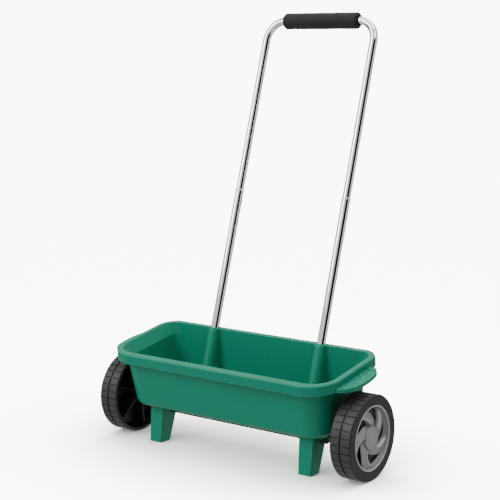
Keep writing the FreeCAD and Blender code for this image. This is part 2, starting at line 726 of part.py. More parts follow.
def ledge_outline(sign, inset, start, height):
    """A ledge's plan: straight against the rim, two rounded corners and a slightly bowed edge."""
    middle = value(RIM_MIDDLE)
    half = value("ledge_length / 2") - inset
    reach = value("ledge_reach") - inset
    corner = value("ledge_corner")
    shoulder = reach - 3

    def at(x, y):
        return FreeCAD.Vector(sign * (rim_half + x), middle + y, height)

    bend = (0.55 * reach, half - 0.36 * corner)
    return Part.Wire([
        Part.Arc(at(start, -half), at(bend[0], -bend[1]), at(shoulder, -half + corner)).toShape(),
        Part.Arc(at(shoulder, -half + corner), at(reach, 0), at(shoulder, half - corner)).toShape(),
        Part.Arc(at(shoulder, half - corner), at(bend[0], bend[1]), at(start, half)).toShape(),
        Part.LineSegment(at(start, half), at(start, -half)).toShape(),
    ])


def make_ledge(sign):
    top = rim_top - value("ledge_drop")
    skirt = value("ledge_skirt")
    slab = Part.Face(ledge_outline(sign, 0, -wall / 2, top)).extrude(FreeCAD.Vector(0, 0, -skirt))
    under = Part.Face(ledge_outline(sign, 2.4, 0.2, top - 2.4)).extrude(FreeCAD.Vector(0, 0, -skirt))
    slab = slab.cut(under)
    rib_field = Part.Face(ledge_outline(sign, 4.0, 2.0, top - 0.5)).extrude(
        FreeCAD.Vector(0, 0, value("ledge_rib_height") + 0.5)
    )
    count = int(value("ledge_rib_count"))
    pitch = value("(ledge_length - 20) / ledge_rib_count")
    middle = value(RIM_MIDDLE)
    half_rib = value("ledge_rib_width / 2")
    far = sign * (rim_half + value("ledge_reach"))
    near = sign * (rim_half - wall / 2)
    bars = []
    for i in range(count):
        y = middle + (i - (count - 1) / 2) * pitch
        low = (min(near, far), y - half_rib, top - 5)
        high = (max(near, far), y + half_rib, top + 5)
        bars.append(box_between(low, high))
    ribs = rib_field.common(bars[0].multiFuse(bars[1:]))
    return slab.fuse(ribs)


def make_bin():
    outer = bin_block(0, rim_top, floor, value("floor_radius"))
    envelope = bin_block(0, rim_top + 1, floor, value("floor_radius"))
    trough_half = value("trough_length / 2")
    trough_wall = value("trough_wall")
    pad_half = value("pad_width / 2")
    pad_face = value(PAD_FACE)
    trough = cylinder_x(value("trough_radius") + trough_wall, trough_half + trough_wall)
    sole = box_between((-trough_half - 9, -pad_half, pad_face), (trough_half + 9, pad_half, -7.0))
    funnel = funnel_block(floor + 0.5, MOUTH, 0)
    outside = outer.multiFuse([funnel, trough, sole, make_rim(), make_ledge(1), make_ledge(-1)])

    hollow = bin_block(wall, rim_top + 5, floor + wall, value("floor_radius") - wall)
    hopper_floor = funnel_block(floor + wall + 0.5, MOUTH + wall, FUNNEL_INSET)
    inside = hollow.multiFuse([hopper_floor, cylinder_x(value("trough_radius"), trough_half)])
    shell = outside.cut(inside)

    radius = value("lower_tube / 2 + pocket_play")
    deep = value("leg_depth")
    pockets = []
    recesses = []
    screw_holes = []
    screw = value("leg_screw / 2") + 0.2
    for label, sign in SIDES:
        x = sign * value(LEG_X)
        outer_channel = channel(radius + value("pocket_wall"), 70, 30, -deep - 3, 1.5)
        pockets.append(on_leg(outer_channel, x).common(envelope))
        recesses.append(on_leg(channel(radius, 70, 12, -deep, 0), x).common(
            box_between((-rim_half, rim_front, 0), (rim_half, rim_back, rim_top - wall))
        ).common(envelope))
        recesses.append(on_leg(Part.makeCylinder(radius, deep + 40, FreeCAD.Vector(0, 0, -deep)), x))
        spot = FreeCAD.Vector(0, 20, value("0 - leg_screw_drop"))
        screw_holes.append(on_leg(Part.makeCylinder(screw, 50, spot, FreeCAD.Vector(0, -1, 0)), x))
    bosses = []
    bores = []
    end = value("boss_end")
    for label, sign in SIDES:
        start = FreeCAD.Vector(sign * trough_half, 0, 0)
        direction = FreeCAD.Vector(sign, 0, 0)
        bosses.append(Part.makeCylinder(value("boss_radius"), end - trough_half, start, direction))
        back = FreeCAD.Vector(sign * (trough_half - 3), 0, 0)
        bores.append(Part.makeCylinder(value("bush_diameter / 2"), end, back, direction))
    post_base = FreeCAD.Vector(0, value(PIVOT_Y), value(LEVER_TOP))
    post = Part.makeCylinder(value("pivot_diameter / 2 + 3.5"), floor + 1 - post_base.z, post_base)
    post_bore = Part.makeCylinder(value("pivot_diameter / 2"), 16, post_base)
    shell = shell.multiFuse(pockets + bosses + [post]).removeSplitter()

    holes = []
    count = int(value("dosing_count"))
    pitch = value("dosing_pitch")
    for i in range(count):
        x = (i - (count - 1) / 2) * pitch
        spot = FreeCAD.Vector(x, 0, pad_face - 1)
        holes.append(Part.makeCylinder(value("dosing_hole / 2"), -pad_face - 4, spot))
    for place in RAIL_SCREW_X:
        for label, sign in SIDES:
            spot = FreeCAD.Vector(value(place), sign * (pad_half + 1), pad_face + 2)
            inward = FreeCAD.Vector(0, -sign, 0)
            holes.append(Part.makeCylinder(value("rail_screw / 2"), 7, spot, inward))
    return shell.cut(recesses[0].multiFuse(recesses[1:] + screw_holes + bores + [post_bore] + holes))


hopper = doc.addObject("Part::Feature", "hopper")
hopper.Shape = make_bin()
finish(hopper, "hopper", LEVEL)

# ---------------------------------------------------------------- front feet
def make_foot(sign, support):
    """A hollow wedge under the bin's front, cut to the floor's slope and clear of the slide."""
    centre = sign * value("foot_spacing / 2")
    height = value(AXLE_HEIGHT) + 12
    sole_front, sole_back = value("0 - foot_front"), value("0 - foot_back")

    def outline(level, inset):
        front = sole_front + level * math.tan(deg("foot_front_draft")) + inset
        back = sole_back + level * math.tan(deg("foot_back_draft")) - inset
        half = value("foot_width / 2") + level * math.tan(deg("foot_side_draft")) - inset
        corners = [(-half, front), (half, front), (half, back), (-half, back)]
        points = [FreeCAD.Vector(centre + x, y, level) for x, y in corners]
        return Part.makePolygon(points + points[:1])

    def in_level_frame(shape):
        placed = shape.copy()
        placed.translate(FreeCAD.Vector(0, 0, -value(AXLE_HEIGHT)))
        placed.rotate(FreeCAD.Vector(0, 0, 0), FreeCAD.Vector(1, 0, 0), -value("rest_tilt"))
        return placed

    solid = Part.makeLoft([outline(0, 0), outline(height, 0)], True, True)
    upright = [e for e in solid.Edges if e.BoundBox.ZLength > height / 2]
    solid = in_level_frame(solid.makeFillet(3.0, upright))
    thick = value("foot_wall")
    hollow = in_level_frame(Part.makeLoft([outline(thick, thick), outline(height + 1, thick)], True, True))
    bay_front = -value("pad_width / 2 + rail_flange") - 1.5
    bay_low = value(RAIL_BOTTOM) - 2.4
    bay = box_between((centre - 60, bay_front, bay_low), (centre + 60, 120, 120))
    post = Part.makeCylinder(5.5, 30, FOOT_SCREW[1] * -2.0 + screw_point(centre), FOOT_SCREW[1])
    foot = solid.cut(hollow).fuse(post.common(solid)).cut(bay).cut(support)
    foot = max(foot.Solids, key=lambda piece: piece.Volume)
    hole = Part.makeCylinder(
        value("foot_screw / 2"), 17, FOOT_SCREW[1] * -1.0 + screw_point(centre), FOOT_SCREW[1]
    )
    return foot.cut(hole)


def screw_point(x):
    """Where a foot's screw leaves the floor's outer slope, at that distance along the bin."""
    return FreeCAD.Vector(x, FOOT_SCREW[0].y, FOOT_SCREW[0].z)


def slope_place(share):
    """A point of the floor's outer front slope and the direction square to it, downward."""
    edge = value("floor_radius")
    high = FreeCAD.Vector(0, bin_outline(floor, edge).BoundBox.YMin, floor + 0.5)
    low = FreeCAD.Vector(0, -value("trough_radius") - 0.5, MOUTH)
    along = low - high
    normal = FreeCAD.Vector(0, along.z, -along.y).normalize()
    return high + along * share, normal


FOOT_SCREW = slope_place(0.42)

support = bin_block(0, rim_top, floor, value("floor_radius")).multiFuse([
    funnel_block(floor + 0.5, MOUTH, 0),
    cylinder_x(value("trough_radius + trough_wall"), value("trough_length / 2")),
])
for label, sign in SIDES:
    foot = doc.addObject("Part::Feature", f"{label}_foot")
    foot.Shape = make_foot(sign, support)
    finish(foot, f"{label}_foot", LEVEL)

# holes for the feet's screws go through the bin's floor as well
floor_holes = []
for label, sign in SIDES:
    spot = screw_point(sign * value("foot_spacing / 2")) + FOOT_SCREW[1] * -8.0
    floor_holes.append(Part.makeCylinder(value("foot_screw / 2") + 0.15, 12, spot, FOOT_SCREW[1]))
hopper.Placement = FreeCAD.Placement()
hopper.Shape = hopper.Shape.cut(floor_holes)
hopper.setExpression("Placement", bound(LEVEL))
foot_tilt = math.degrees(math.atan2(-FOOT_SCREW[1].y, -FOOT_SCREW[1].z))


def screw_along_z(name, radius, head_radius, head_height, length, socket):
    """A screw with its head's seat at the origin and its shank pointing down."""
    shank = rod(f"{name}_shank", radius, length, ("0", "0", f"0 - ({length}) / 2"))
    head = rod(f"{name}_head", head_radius, head_height, ("0", "0", f"({head_height}) / 2"))
    drive = rod(f"{name}_socket", socket, head_height, ("0", "0", f"({head_height}) * 0.95"))
    return cut(name, fuse(f"{name}_solid", [shank, head]), [drive])


def placed(name, source, spot, turn="rotation(vector(1; 0; 0); 0)"):
    """A linked copy of a fastener at its own place."""
    copy = doc.addObject("Part::Compound", name)
    copy.Links = [source]
    place = f"placement(vector({spot[0]}; {spot[1]}; {spot[2]}); {turn})"
    copy.setExpression("Placement", bound(place))
    return copy


slope_wall = abs(FOOT_SCREW[1].y) * FUNNEL_INSET + abs(FOOT_SCREW[1].z) * wall
slope_height = FOOT_SCREW[0] - FOOT_SCREW[1] * (slope_wall + 0.02)
foot_screw = screw_along_z(
    "foot_screw_one", "foot_screw / 2", "foot_screw * 0.95", "2.6", "17", "foot_screw / 4"
)
foot_screws = []
for label, sign in SIDES:
    spot = (side(sign, "foot_spacing / 2"), f"{slope_height.y:.4f}", f"{slope_height.z:.4f}")
    turn = f"rotation(vector(1; 0; 0); {-foot_tilt:.4f})"
    foot_screws.append(placed(f"foot_screw_{label}", foot_screw, spot, turn))
group("foot_screws", foot_screws, "foot_screws", LEVEL)

# ---------------------------------------------------------------- dosing slide, its rails and its lever
slide = new_body("dosing_slide")
sketch = new_sketch(slide, "slide_outline", "XY_Plane", SLIDE_BOTTOM)
tab = "12"
near, far = "0 - slide_width / 2", "slide_width / 2"
start, end = "0 - slide_length / 2 - slide_travel / 2", "slide_length / 2 - slide_travel / 2"
shift = "slide_travel / 2"
tab_end = f"{PIN_Y} + lever_pin / 2 + 3"
draw_outline(sketch, [
    (start, near),
    (end, near),
    (end, far),
    (f"{tab} - {shift}", far),
    (f"{tab} - {shift}", tab_end),
    (f"0 - {tab} - {shift}", tab_end),
    (f"0 - {tab} - {shift}", far),
    (start, far),
])
pad(slide, sketch, "slide_sheet", "slide_thickness")
sketch = new_sketch(slide, "slide_hole", "XY_Plane", SLIDE_BOTTOM)
draw_circle(sketch, ("0 - (dosing_count - 1) / 2 * dosing_pitch - slide_travel", "0"), "dosing_hole / 2")
hole = pocket(slide, sketch, "slide_hole_cut", "slide_thickness * 4", middle=True)
row = slide.newObject("PartDesign::LinearPattern", "slide_holes")
row.Originals = [hole]
row.Direction = (origin_plane(slide, "X_Axis"), [""])
bind(row, Length="(dosing_count - 1) * dosing_pitch", Occurrences="dosing_count")
slide.Tip = row
sketch = new_sketch(slide, "slide_pin", "XY_Plane", f"{SLIDE_BOTTOM} + 0.5")
draw_circle(sketch, (f"0 - {shift}", PIN_Y), "lever_pin / 2")
pin_reach = f"{SLIDE_BOTTOM} + 0.5 - {LEVER_TOP} + lever_thickness + 1"
pad(slide, sketch, "slide_pin_pad", pin_reach, backward=True)
finish(slide, "dosing_slide", LEVEL)

RAIL_HALF = "(trough_length / 2 - 4)"
EDGE = "(slide_width / 2 + slide_gap)"
LIP = "(slide_width / 2 - 3)"
LIP_TOP = f"({SLIDE_BOTTOM} - slide_gap / 2)"


def make_rail(name, sign):
    """An L of folded sheet that carries one edge of the slide."""
    body = new_body(name)
    profile = [
        (EDGE, PAD_FACE),
        (EDGE, LIP_TOP),
        (LIP, LIP_TOP),
        (LIP, RAIL_BOTTOM),
        ("pad_width / 2 + rail_flange", RAIL_BOTTOM),
        ("pad_width / 2 + rail_flange", f"{PAD_FACE} + 4"),
        ("pad_width / 2", f"{PAD_FACE} + 4"),
        ("pad_width / 2", PAD_FACE),
    ]
    section = new_sketch(body, f"{name}_section", "YZ_Plane")
    draw_outline(section, [(side(sign, y), z) for y, z in profile])
    pad(body, section, f"{name}_pad", f"{RAIL_HALF} * 2", middle=True)
    holes = new_sketch(body, f"{name}_holes", "XZ_Plane", side(-sign, "pad_width / 2"))
    for place in RAIL_SCREW_X:
        draw_circle(holes, (place, f"{PAD_FACE} + 2"), "rail_screw / 2")
    pocket(body, holes, f"{name}_holes_cut", "rail_flange * 2 + 2", middle=True)
    return body


front_rail = make_rail("front_rail", -1)
finish(front_rail, "front_rail", LEVEL)
back_rail = make_rail("back_rail", 1)
sketch = new_sketch(back_rail, "tab_gap", "XY_Plane", PAD_FACE)
draw_rectangle(sketch, ("0 - rail_gap_length / 2", "0"), ("rail_gap_length / 2", "pad_width"))
pocket(back_rail, sketch, "tab_gap_cut", "pad_drop", middle=True)
finish(back_rail, "back_rail", LEVEL)

lever = new_body("dosing_lever")
sketch = new_sketch(lever, "lever_outline", "XY_Plane", f"{LEVER_TOP} - lever_thickness")
half = "lever_width / 2"
draw_outline(sketch, [
    (f"0 - {half} * 0.55", "0 - lever_arm - 7"),
    (f"{half} * 0.55", "0 - lever_arm - 7"),
    (f"{half} * 0.8", "0 - lever_arm"),
    (half, "0"),
    (f"{half} * 0.75", "lever_reach * 0.75"),
    (half, "lever_reach - 8"),
    (f"{half} * 0.6", "lever_reach"),
    (f"0 - {half} * 0.6", "lever_reach"),
    (f"0 - {half}", "lever_reach - 8"),
    (f"0 - {half} * 0.75", "lever_reach * 0.75"),
    (f"0 - {half}", "0"),
    (f"0 - {half} * 0.8", "0 - lever_arm"),
])
pad(lever, sketch, "lever_plate", "lever_thickness")
sketch = new_sketch(lever, "lever_knob", "XY_Plane", f"{LEVER_TOP} - lever_thickness")
draw_circle(sketch, ("0", "lever_reach - 8"), f"{half}")
pad(lever, sketch, "lever_knob_pad", "lever_thickness + 6", backward=True)
sketch = new_sketch(lever, "lever_holes", "XY_Plane", f"{LEVER_TOP} - lever_thickness")
draw_circle(sketch, ("0", "0"), "pivot_diameter / 2 + axle_play")
slot = "(lever_pin / 2 + 0.3)"
draw_rectangle(sketch, (f"0 - {slot}", f"0 - lever_arm - {slot} - 0.5"), (slot, f"0 - lever_arm + {slot}"))
pocket(lever, sketch, "lever_holes_cut", "lever_thickness * 4", middle=True)
LEVER_REST = "(atan(0 - slide_travel / 2 / lever_arm) / 1 deg)"
pivot_spot = (
    f"vector(0; {AXLE_Y} + {PIVOT_Y} * cos(rest_tilt); {AXLE_HEIGHT} + {PIVOT_Y} * sin(rest_tilt))"
)
lever_turn = f"rotation(vector(1; 0; 0); rest_tilt) * rotation(vector(0; 0; 1); {LEVER_REST})"
finish(lever, "dosing_lever", f"placement({pivot_spot}; {lever_turn})")

shoulder = rod(
    "pivot_shoulder",
    "pivot_diameter / 2",
    "lever_thickness + slide_gap + 15",
    ("0", PIVOT_Y, f"{LEVER_TOP} - lever_thickness - slide_gap + (lever_thickness + slide_gap + 15) / 2"),
)
pivot_head = rod(
    "pivot_head",
    "pivot_diameter * 0.85",
    "3",
    ("0", PIVOT_Y, f"{LEVER_TOP} - lever_thickness - slide_gap - 1.5"),
)
group("lever_pivot", [fuse("pivot_screw", [shoulder, pivot_head])], "lever_pivot", LEVEL)

# ---------------------------------------------------------------- handle
for label, sign in SIDES:
    tube = new_body(f"{label}_lower_tube")
    sketch = new_sketch(tube, f"{label}_tube_section", "XY_Plane", "0 - leg_depth")
    centre = (side(sign, LEG_X), "0")
    draw_circle(sketch, centre, "lower_tube / 2")
    draw_circle(sketch, centre, "lower_tube / 2 - tube_wall")
    pad(tube, sketch, f"{label}_tube_pad", f"{JOINT} + leg_depth")
    sketch = new_sketch(tube, f"{label}_leg_hole", "XZ_Plane")
    draw_circle(sketch, (centre[0], "0 - leg_screw_drop"), "leg_screw / 2 + 0.1")
    pocket(tube, sketch, f"{label}_leg_hole_cut", "lower_tube + 4", middle=True)
    sketch = new_sketch(tube, f"{label}_joint_hole", "XZ_Plane", "0 - lower_tube / 2")
    draw_circle(sketch, (centre[0], f"{JOINT} - spigot_length / 2"), "joint_screw / 2")
    pocket(tube, sketch, f"{label}_joint_hole_cut", "lower_tube * 0.8", middle=True)
    finish(tube, f"{label}_lower_tube", HANDLE)

upper = new_body("upper_handle")
path = new_sketch(upper, "handle_path", "XZ_Plane")
left, right = f"(0 - {LEG_X})", LEG_X
bend_low = f"({TOP_BAR} - bend_radius)"
spans = [
    ((left, JOINT), (left, bend_low)),
    ((f"({left} + bend_radius)", TOP_BAR), (f"({right} - bend_radius)", TOP_BAR)),
    ((right, bend_low), (right, JOINT)),
]
for start, end in spans:
    a = FreeCAD.Vector(value(start[0]), value(start[1]), 0)
    b = FreeCAD.Vector(value(end[0]), value(end[1]), 0)
    line = path.addGeometry(Part.LineSegment(a, b), False)
    pin_down(path, line, 1, start)
    pin_down(path, line, 2, end)
bend = value("bend_radius")
for centre, low, high, joins in (
    (-1, math.pi / 2, math.pi, ((2, 0, 2), (1, 1, 1))),
    (1, 0, math.pi / 2, ((2, 1, 2), (1, 2, 1))),
):
    middle = FreeCAD.Vector(centre * (value(LEG_X) - bend), value(bend_low), 0)
    circle = Part.Circle(middle, FreeCAD.Vector(0, 0, 1), bend)
    arc = path.addGeometry(Part.ArcOfCircle(circle, low, high), False)
    for arc_end, straight, straight_end in joins:
        path.addConstraint(Sketcher.Constraint("Coincident", arc, arc_end, straight, straight_end))
    index = path.addConstraint(Sketcher.Constraint("Radius", arc, bend))
    path.setExpression(f"Constraints[{index}]", bound("bend_radius"))
section = new_sketch(upper, "handle_section", "XY_Plane", JOINT)
draw_circle(section, (left, "0"), "upper_tube / 2")
draw_circle(section, (left, "0"), "upper_tube / 2 - tube_wall")
pipe = upper.newObject("PartDesign::AdditivePipe", "handle_pipe")
pipe.Profile = section
pipe.Spine = path
doc.recompute()
for name, outer, reach in (
    ("spigot_neck", SPIGOT_NECK, f"{NECK_HEIGHT}"),
    ("spigot", SPIGOT_OUTER, f"spigot_length + {NECK_HEIGHT}"),
):
    sketch = new_sketch(upper, f"{name}_section", "XY_Plane", f"{JOINT} + {NECK_HEIGHT}")
    for label, sign in SIDES:
        draw_circle(sketch, (side(sign, LEG_X), "0"), outer)
        draw_circle(sketch, (side(sign, LEG_X), "0"), SPIGOT_BORE)
    pad(upper, sketch, f"{name}_pad", reach, backward=True)
sketch = new_sketch(upper, "spigot_holes", "XZ_Plane", "0 - lower_tube / 2")
for label, sign in SIDES:
    draw_circle(sketch, (side(sign, LEG_X), f"{JOINT} - spigot_length / 2"), "joint_screw / 2")
pocket(upper, sketch, "spigot_holes_cut", "lower_tube * 0.8", middle=True)
finish(upper, "upper_handle", HANDLE)

grip_end, grip_outer, grip_bore = "grip_length / 2", "grip_diameter / 2", "upper_tube / 2"
half_profile = [
    (grip_end, grip_bore),
    (grip_end, f"{grip_outer} - grip_edge"),
    (f"{grip_end} - grip_edge * 0.13", f"{grip_outer} - grip_edge * 0.5"),
    (f"{grip_end} - grip_edge * 0.5", f"{grip_outer} - grip_edge * 0.13"),
    (f"{grip_end} - grip_edge", grip_outer),
]
grip_profile = half_profile + [(side(-1, x), r) for x, r in half_profile[::-1]]
grip_place = f"vector(0; {AXLE_Y} + {LEG_Y} + {TOP_BAR} * sin(handle_lean); handle_height)"
turned("grip", grip_profile, "grip", f"placement({grip_place}; rotation(vector(1; 0; 0); 0 - handle_lean))")

BEHIND = "rotation(vector(1; 0; 0); -90)"
screw_reach = "lower_tube + pocket_play + pocket_wall + leg_screw * 0.8 + 3"
leg_screw = screw_along_z(
    "leg_screw_one", "leg_screw / 2", "leg_screw * 0.9", "3.2", screw_reach, "leg_screw * 0.3"
)
joint_reach = "tube_wall * 2 + spigot_play + 2"
joint_screw = screw_along_z(
    "joint_screw_one", "joint_screw / 2", "joint_screw * 0.9", "2.4", joint_reach, "joint_screw * 0.3"
)
nut_body = doc.addObject("Part::Prism", "leg_nut_body")
nut_body.Polygon = 6
bind(nut_body, Circumradius="leg_screw * 0.92", Height="leg_screw * 0.8")
nut_bore = rod("leg_nut_bore", "leg_screw / 2", "leg_screw * 3", ("0", "0", "0"))
leg_nut = cut("leg_nut_one", nut_body, [nut_bore])
# the pocket's back wall leans off the tube, so the nut seats this much further out
NUT_GAP = 1.35
NUT_SEAT = f"(0 - lower_tube / 2 - pocket_play - pocket_wall - {NUT_GAP})"
leg_screws, leg_nuts, joint_screws = [], [], []
for label, sign in SIDES:
    x = side(sign, LEG_X)
    drop = "0 - leg_screw_drop"
    leg_screws.append(placed(f"leg_screw_{label}", leg_screw, (x, "lower_tube / 2", drop), BEHIND))
    nut_turn = "rotation(vector(1; 0; 0); 90)"
    leg_nuts.append(placed(f"leg_nut_{label}", leg_nut, (x, NUT_SEAT, drop), nut_turn))
    seam = f"{JOINT} - spigot_length / 2"
    joint_screws.append(placed(f"joint_screw_{label}", joint_screw, (x, "lower_tube / 2", seam), BEHIND))
group("handle_screws", leg_screws, "handle_screws", HANDLE)
group("handle_nuts", leg_nuts, "handle_nuts", HANDLE)
group("joint_screws", joint_screws, "joint_screws", HANDLE)

rail_screw = screw_along_z(
    "rail_screw_one", "rail_screw / 2", "rail_screw * 0.9", "1.6", "rail_flange + 5.5", "rail_screw * 0.3"
)
rail_screws = []
for label, sign in SIDES:
    for number, place in enumerate(RAIL_SCREW_X):
        spot = (place, side(sign, "pad_width / 2 + rail_flange"), f"{PAD_FACE} + 2")
        turn = f"rotation(vector(1; 0; 0); {-90 * sign})"
        rail_screws.append(placed(f"rail_screw_{label}_{number}", rail_screw, spot, turn))
group("rail_screws", rail_screws, "rail_screws", LEVEL)

# ---------------------------------------------------------------- check and write
doc.recompute()
problems = []
for thing in doc.Objects:
    if any(word in thing.State for word in ("Invalid", "Error")):
        problems.append(f"{thing.Name} {thing.State}")
for thing in subparts:
    if thing.Shape.isNull() or not thing.Shape.isValid() or not thing.Shape.Solids:
        problems.append(f"{thing.Label} has no sound solid")
if problems:
    raise RuntimeError("; ".join(problems))
os.makedirs("parts", exist_ok=True)
for thing in subparts:
    thing.Shape.exportStep(f"parts/{thing.Label}.step")
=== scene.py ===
# %% [markdown]
# # A garden drop spreader, dressed for its portrait
# The spreader is a moulded green bin on two black wheels, with a chromed push handle and a
# foam grip. Its engineering model already holds every piece at its real size, so this lesson
# adds only what a lens sees: finishes, the moulded hub covers, the foam, and a small studio.
# Loading the frame first fixes every size and place; nothing after it may move a part.

import json
import math

import bmesh
import bpy
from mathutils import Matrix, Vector
from mathutils import noise


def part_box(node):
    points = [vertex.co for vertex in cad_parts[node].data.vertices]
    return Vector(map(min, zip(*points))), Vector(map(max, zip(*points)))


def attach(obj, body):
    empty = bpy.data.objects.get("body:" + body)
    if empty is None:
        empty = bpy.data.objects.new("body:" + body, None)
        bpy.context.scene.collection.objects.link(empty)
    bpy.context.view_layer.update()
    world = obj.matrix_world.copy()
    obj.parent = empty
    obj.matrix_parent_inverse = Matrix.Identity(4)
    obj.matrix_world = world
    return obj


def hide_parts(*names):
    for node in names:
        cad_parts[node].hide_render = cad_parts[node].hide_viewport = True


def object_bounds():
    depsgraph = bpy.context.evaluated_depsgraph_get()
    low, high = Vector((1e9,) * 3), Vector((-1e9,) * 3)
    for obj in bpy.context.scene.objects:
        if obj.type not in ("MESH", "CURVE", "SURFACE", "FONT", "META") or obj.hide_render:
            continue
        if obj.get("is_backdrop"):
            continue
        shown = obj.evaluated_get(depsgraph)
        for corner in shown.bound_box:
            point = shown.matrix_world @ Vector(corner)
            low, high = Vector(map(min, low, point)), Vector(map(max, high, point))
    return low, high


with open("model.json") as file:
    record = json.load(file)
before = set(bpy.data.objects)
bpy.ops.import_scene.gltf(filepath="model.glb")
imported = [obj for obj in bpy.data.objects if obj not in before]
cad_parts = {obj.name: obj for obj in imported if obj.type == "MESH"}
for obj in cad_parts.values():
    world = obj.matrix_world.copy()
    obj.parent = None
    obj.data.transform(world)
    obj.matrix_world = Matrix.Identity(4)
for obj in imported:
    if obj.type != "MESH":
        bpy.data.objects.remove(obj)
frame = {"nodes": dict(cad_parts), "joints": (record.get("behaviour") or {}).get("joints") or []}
parts = frame["nodes"]
box_at_start = [list(corner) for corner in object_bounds()]
joints = {joint["name"]: joint for joint in frame["joints"]}
axle = Vector(joints["axle_turn"]["pos_m"])
MM = 0.001
print("pieces in the frame:", len(parts), "| axle centre:", [round(c, 4) for c in axle])

# %% [markdown]
# ## The camera
# A catalogue view looks down on the bin from the front left corner with a long lens, which
# keeps the handle's two legs almost parallel. A camera can be turned by aiming it at a target
# or by giving its two angles; the angles are steadier, because the aim doesn't shift when the
# object grows.

# %% Set the camera
VIEW_AZIMUTH = math.radians(36.075)
VIEW_DROP = math.radians(8.907)
looking = Vector((
    -math.sin(VIEW_AZIMUTH) * math.cos(VIEW_DROP),
    math.cos(VIEW_AZIMUTH) * math.cos(VIEW_DROP),
    -math.sin(VIEW_DROP),
))
lens = bpy.data.cameras.new("studio_camera")
lens.lens = 95.05
lens.sensor_width = 36.0
camera = bpy.data.objects.new("studio_camera", lens)
bpy.context.scene.collection.objects.link(camera)
camera.location = Vector((1.46637, axle.y - 1.98459, 0.78279))
camera.rotation_euler = looking.to_track_quat("-Z", "Y").to_euler()
bpy.context.scene.camera = camera
print("camera stands", round((camera.location - axle).length, 2), "m from the axle")

# %% [markdown]
# ## The studio
# Chrome is only as good as what it reflects. A white room alone makes it vanish, so the room
# gets bright walls with a few dark strips, as a photographer's black flags give. The strips
# are painted on the world by direction, and the camera itself sees plain white behind the
# object. A floor with a wide curved rise at the back hides the horizon. It is kept out of the
# chrome's reflections, so that the dark strips reach the tubes' edges.

# %% Paint the room
world = bpy.data.worlds.new("studio_room")
bpy.context.scene.world = world
world.use_nodes = True
room = world.node_tree
room.nodes.clear()


def room_node(kind, **settings):
    node = room.nodes.new(kind)
    for name, setting in settings.items():
        setattr(node, name, setting)
    return node


direction = room_node("ShaderNodeTexCoord")
turned = room_node("ShaderNodeMapping", vector_type="POINT")
turned.inputs["Rotation"].default_value = (0, 0, -VIEW_AZIMUTH)
split = room_node("ShaderNodeSeparateXYZ")
bearing = room_node("ShaderNodeMath", operation="ARCTAN2")
share = room_node("ShaderNodeMapRange")
share.inputs["From Min"].default_value = -math.pi
share.inputs["From Max"].default_value = math.pi
strips = room_node("ShaderNodeValToRGB")
room.links.new(direction.outputs["Generated"], turned.inputs["Vector"])
room.links.new(turned.outputs["Vector"], split.inputs["Vector"])
room.links.new(split.outputs["X"], bearing.inputs[0])
room.links.new(split.outputs["Y"], bearing.inputs[1])
room.links.new(bearing.outputs["Value"], share.inputs["Value"])
room.links.new(share.outputs["Result"], strips.inputs["Fac"])

# bearing 0 is straight behind the object, half a turn either way is behind the camera
STRIPS = [
    (-180, 0.5),
    (-174, 1.0),
    (-88, 1.0),
    (-80, 0.01),
    (64, 0.01),
    (69, 1.0),
    (116, 1.0),
    (122, 0.005),
    (170, 0.005),
    (180, 0.5),
]
stops = strips.color_ramp.elements
for end, (angle, level) in ((0, STRIPS[0]), (1, STRIPS[-1])):
    stops[end].color = (level, level, level, 1)
for angle, level in STRIPS[1:-1]:
    stops.new((angle + 180) / 360).color = (level, level, level, 1)

# the wall behind the object is dark only below eye level; above it there is a bright ceiling
height = room_node("ShaderNodeMapRange")
height.inputs["From Min"].default_value = 0.03
height.inputs["From Max"].default_value = 0.10
behind = room_node("ShaderNodeMapRange")
behind.inputs["From Min"].default_value = 0.0
behind.inputs["From Max"].default_value = 0.15
ceiling = room_node("ShaderNodeMath", operation="MULTIPLY")
lit = room_node("ShaderNodeMix", data_type="RGBA")
lit.inputs["B"].default_value = (0.9, 0.9, 0.9, 1)
room.links.new(split.outputs["Z"], height.inputs["Value"])
room.links.new(split.outputs["Y"], behind.inputs["Value"])
room.links.new(height.outputs["Result"], ceiling.inputs[0])
room.links.new(behind.outputs["Result"], ceiling.inputs[1])
room.links.new(ceiling.outputs["Value"], lit.inputs["Factor"])
room.links.new(strips.outputs["Color"], lit.inputs["A"])

# pale ground, well below eye level, lights the undersides as white paper does
depth = room_node("ShaderNodeMapRange")
depth.inputs["From Min"].default_value = -0.22
depth.inputs["From Max"].default_value = -0.36
ground = room_node("ShaderNodeMix", data_type="RGBA")
ground.inputs["B"].default_value = (0.8, 0.8, 0.8, 1)
room.links.new(split.outputs["Z"], depth.inputs["Value"])
room.links.new(depth.outputs["Result"], ground.inputs["Factor"])
room.links.new(lit.outputs["Result"], ground.inputs["A"])

backdrop = room_node("ShaderNodeBackground")
backdrop.inputs["Color"].default_value = (1, 1, 1, 1)
backdrop.inputs["Strength"].default_value = 9.0
walls = room_node("ShaderNodeBackground")
walls.inputs["Strength"].default_value = 0.85
seen_by = room_node("ShaderNodeLightPath")
choose = room_node("ShaderNodeMixShader")
result = room_node("ShaderNodeOutputWorld")
room.links.new(ground.outputs["Result"], walls.inputs["Color"])
room.links.new(seen_by.outputs["Is Camera Ray"], choose.inputs["Fac"])
room.links.new(walls.outputs["Background"], choose.inputs[1])
room.links.new(backdrop.outputs["Background"], choose.inputs[2])
room.links.new(choose.outputs["Shader"], result.inputs["Surface"])
print("dark strips in the room:", sum(level < 0.2 for angle, level in STRIPS) // 2)

# %% Hang the lights


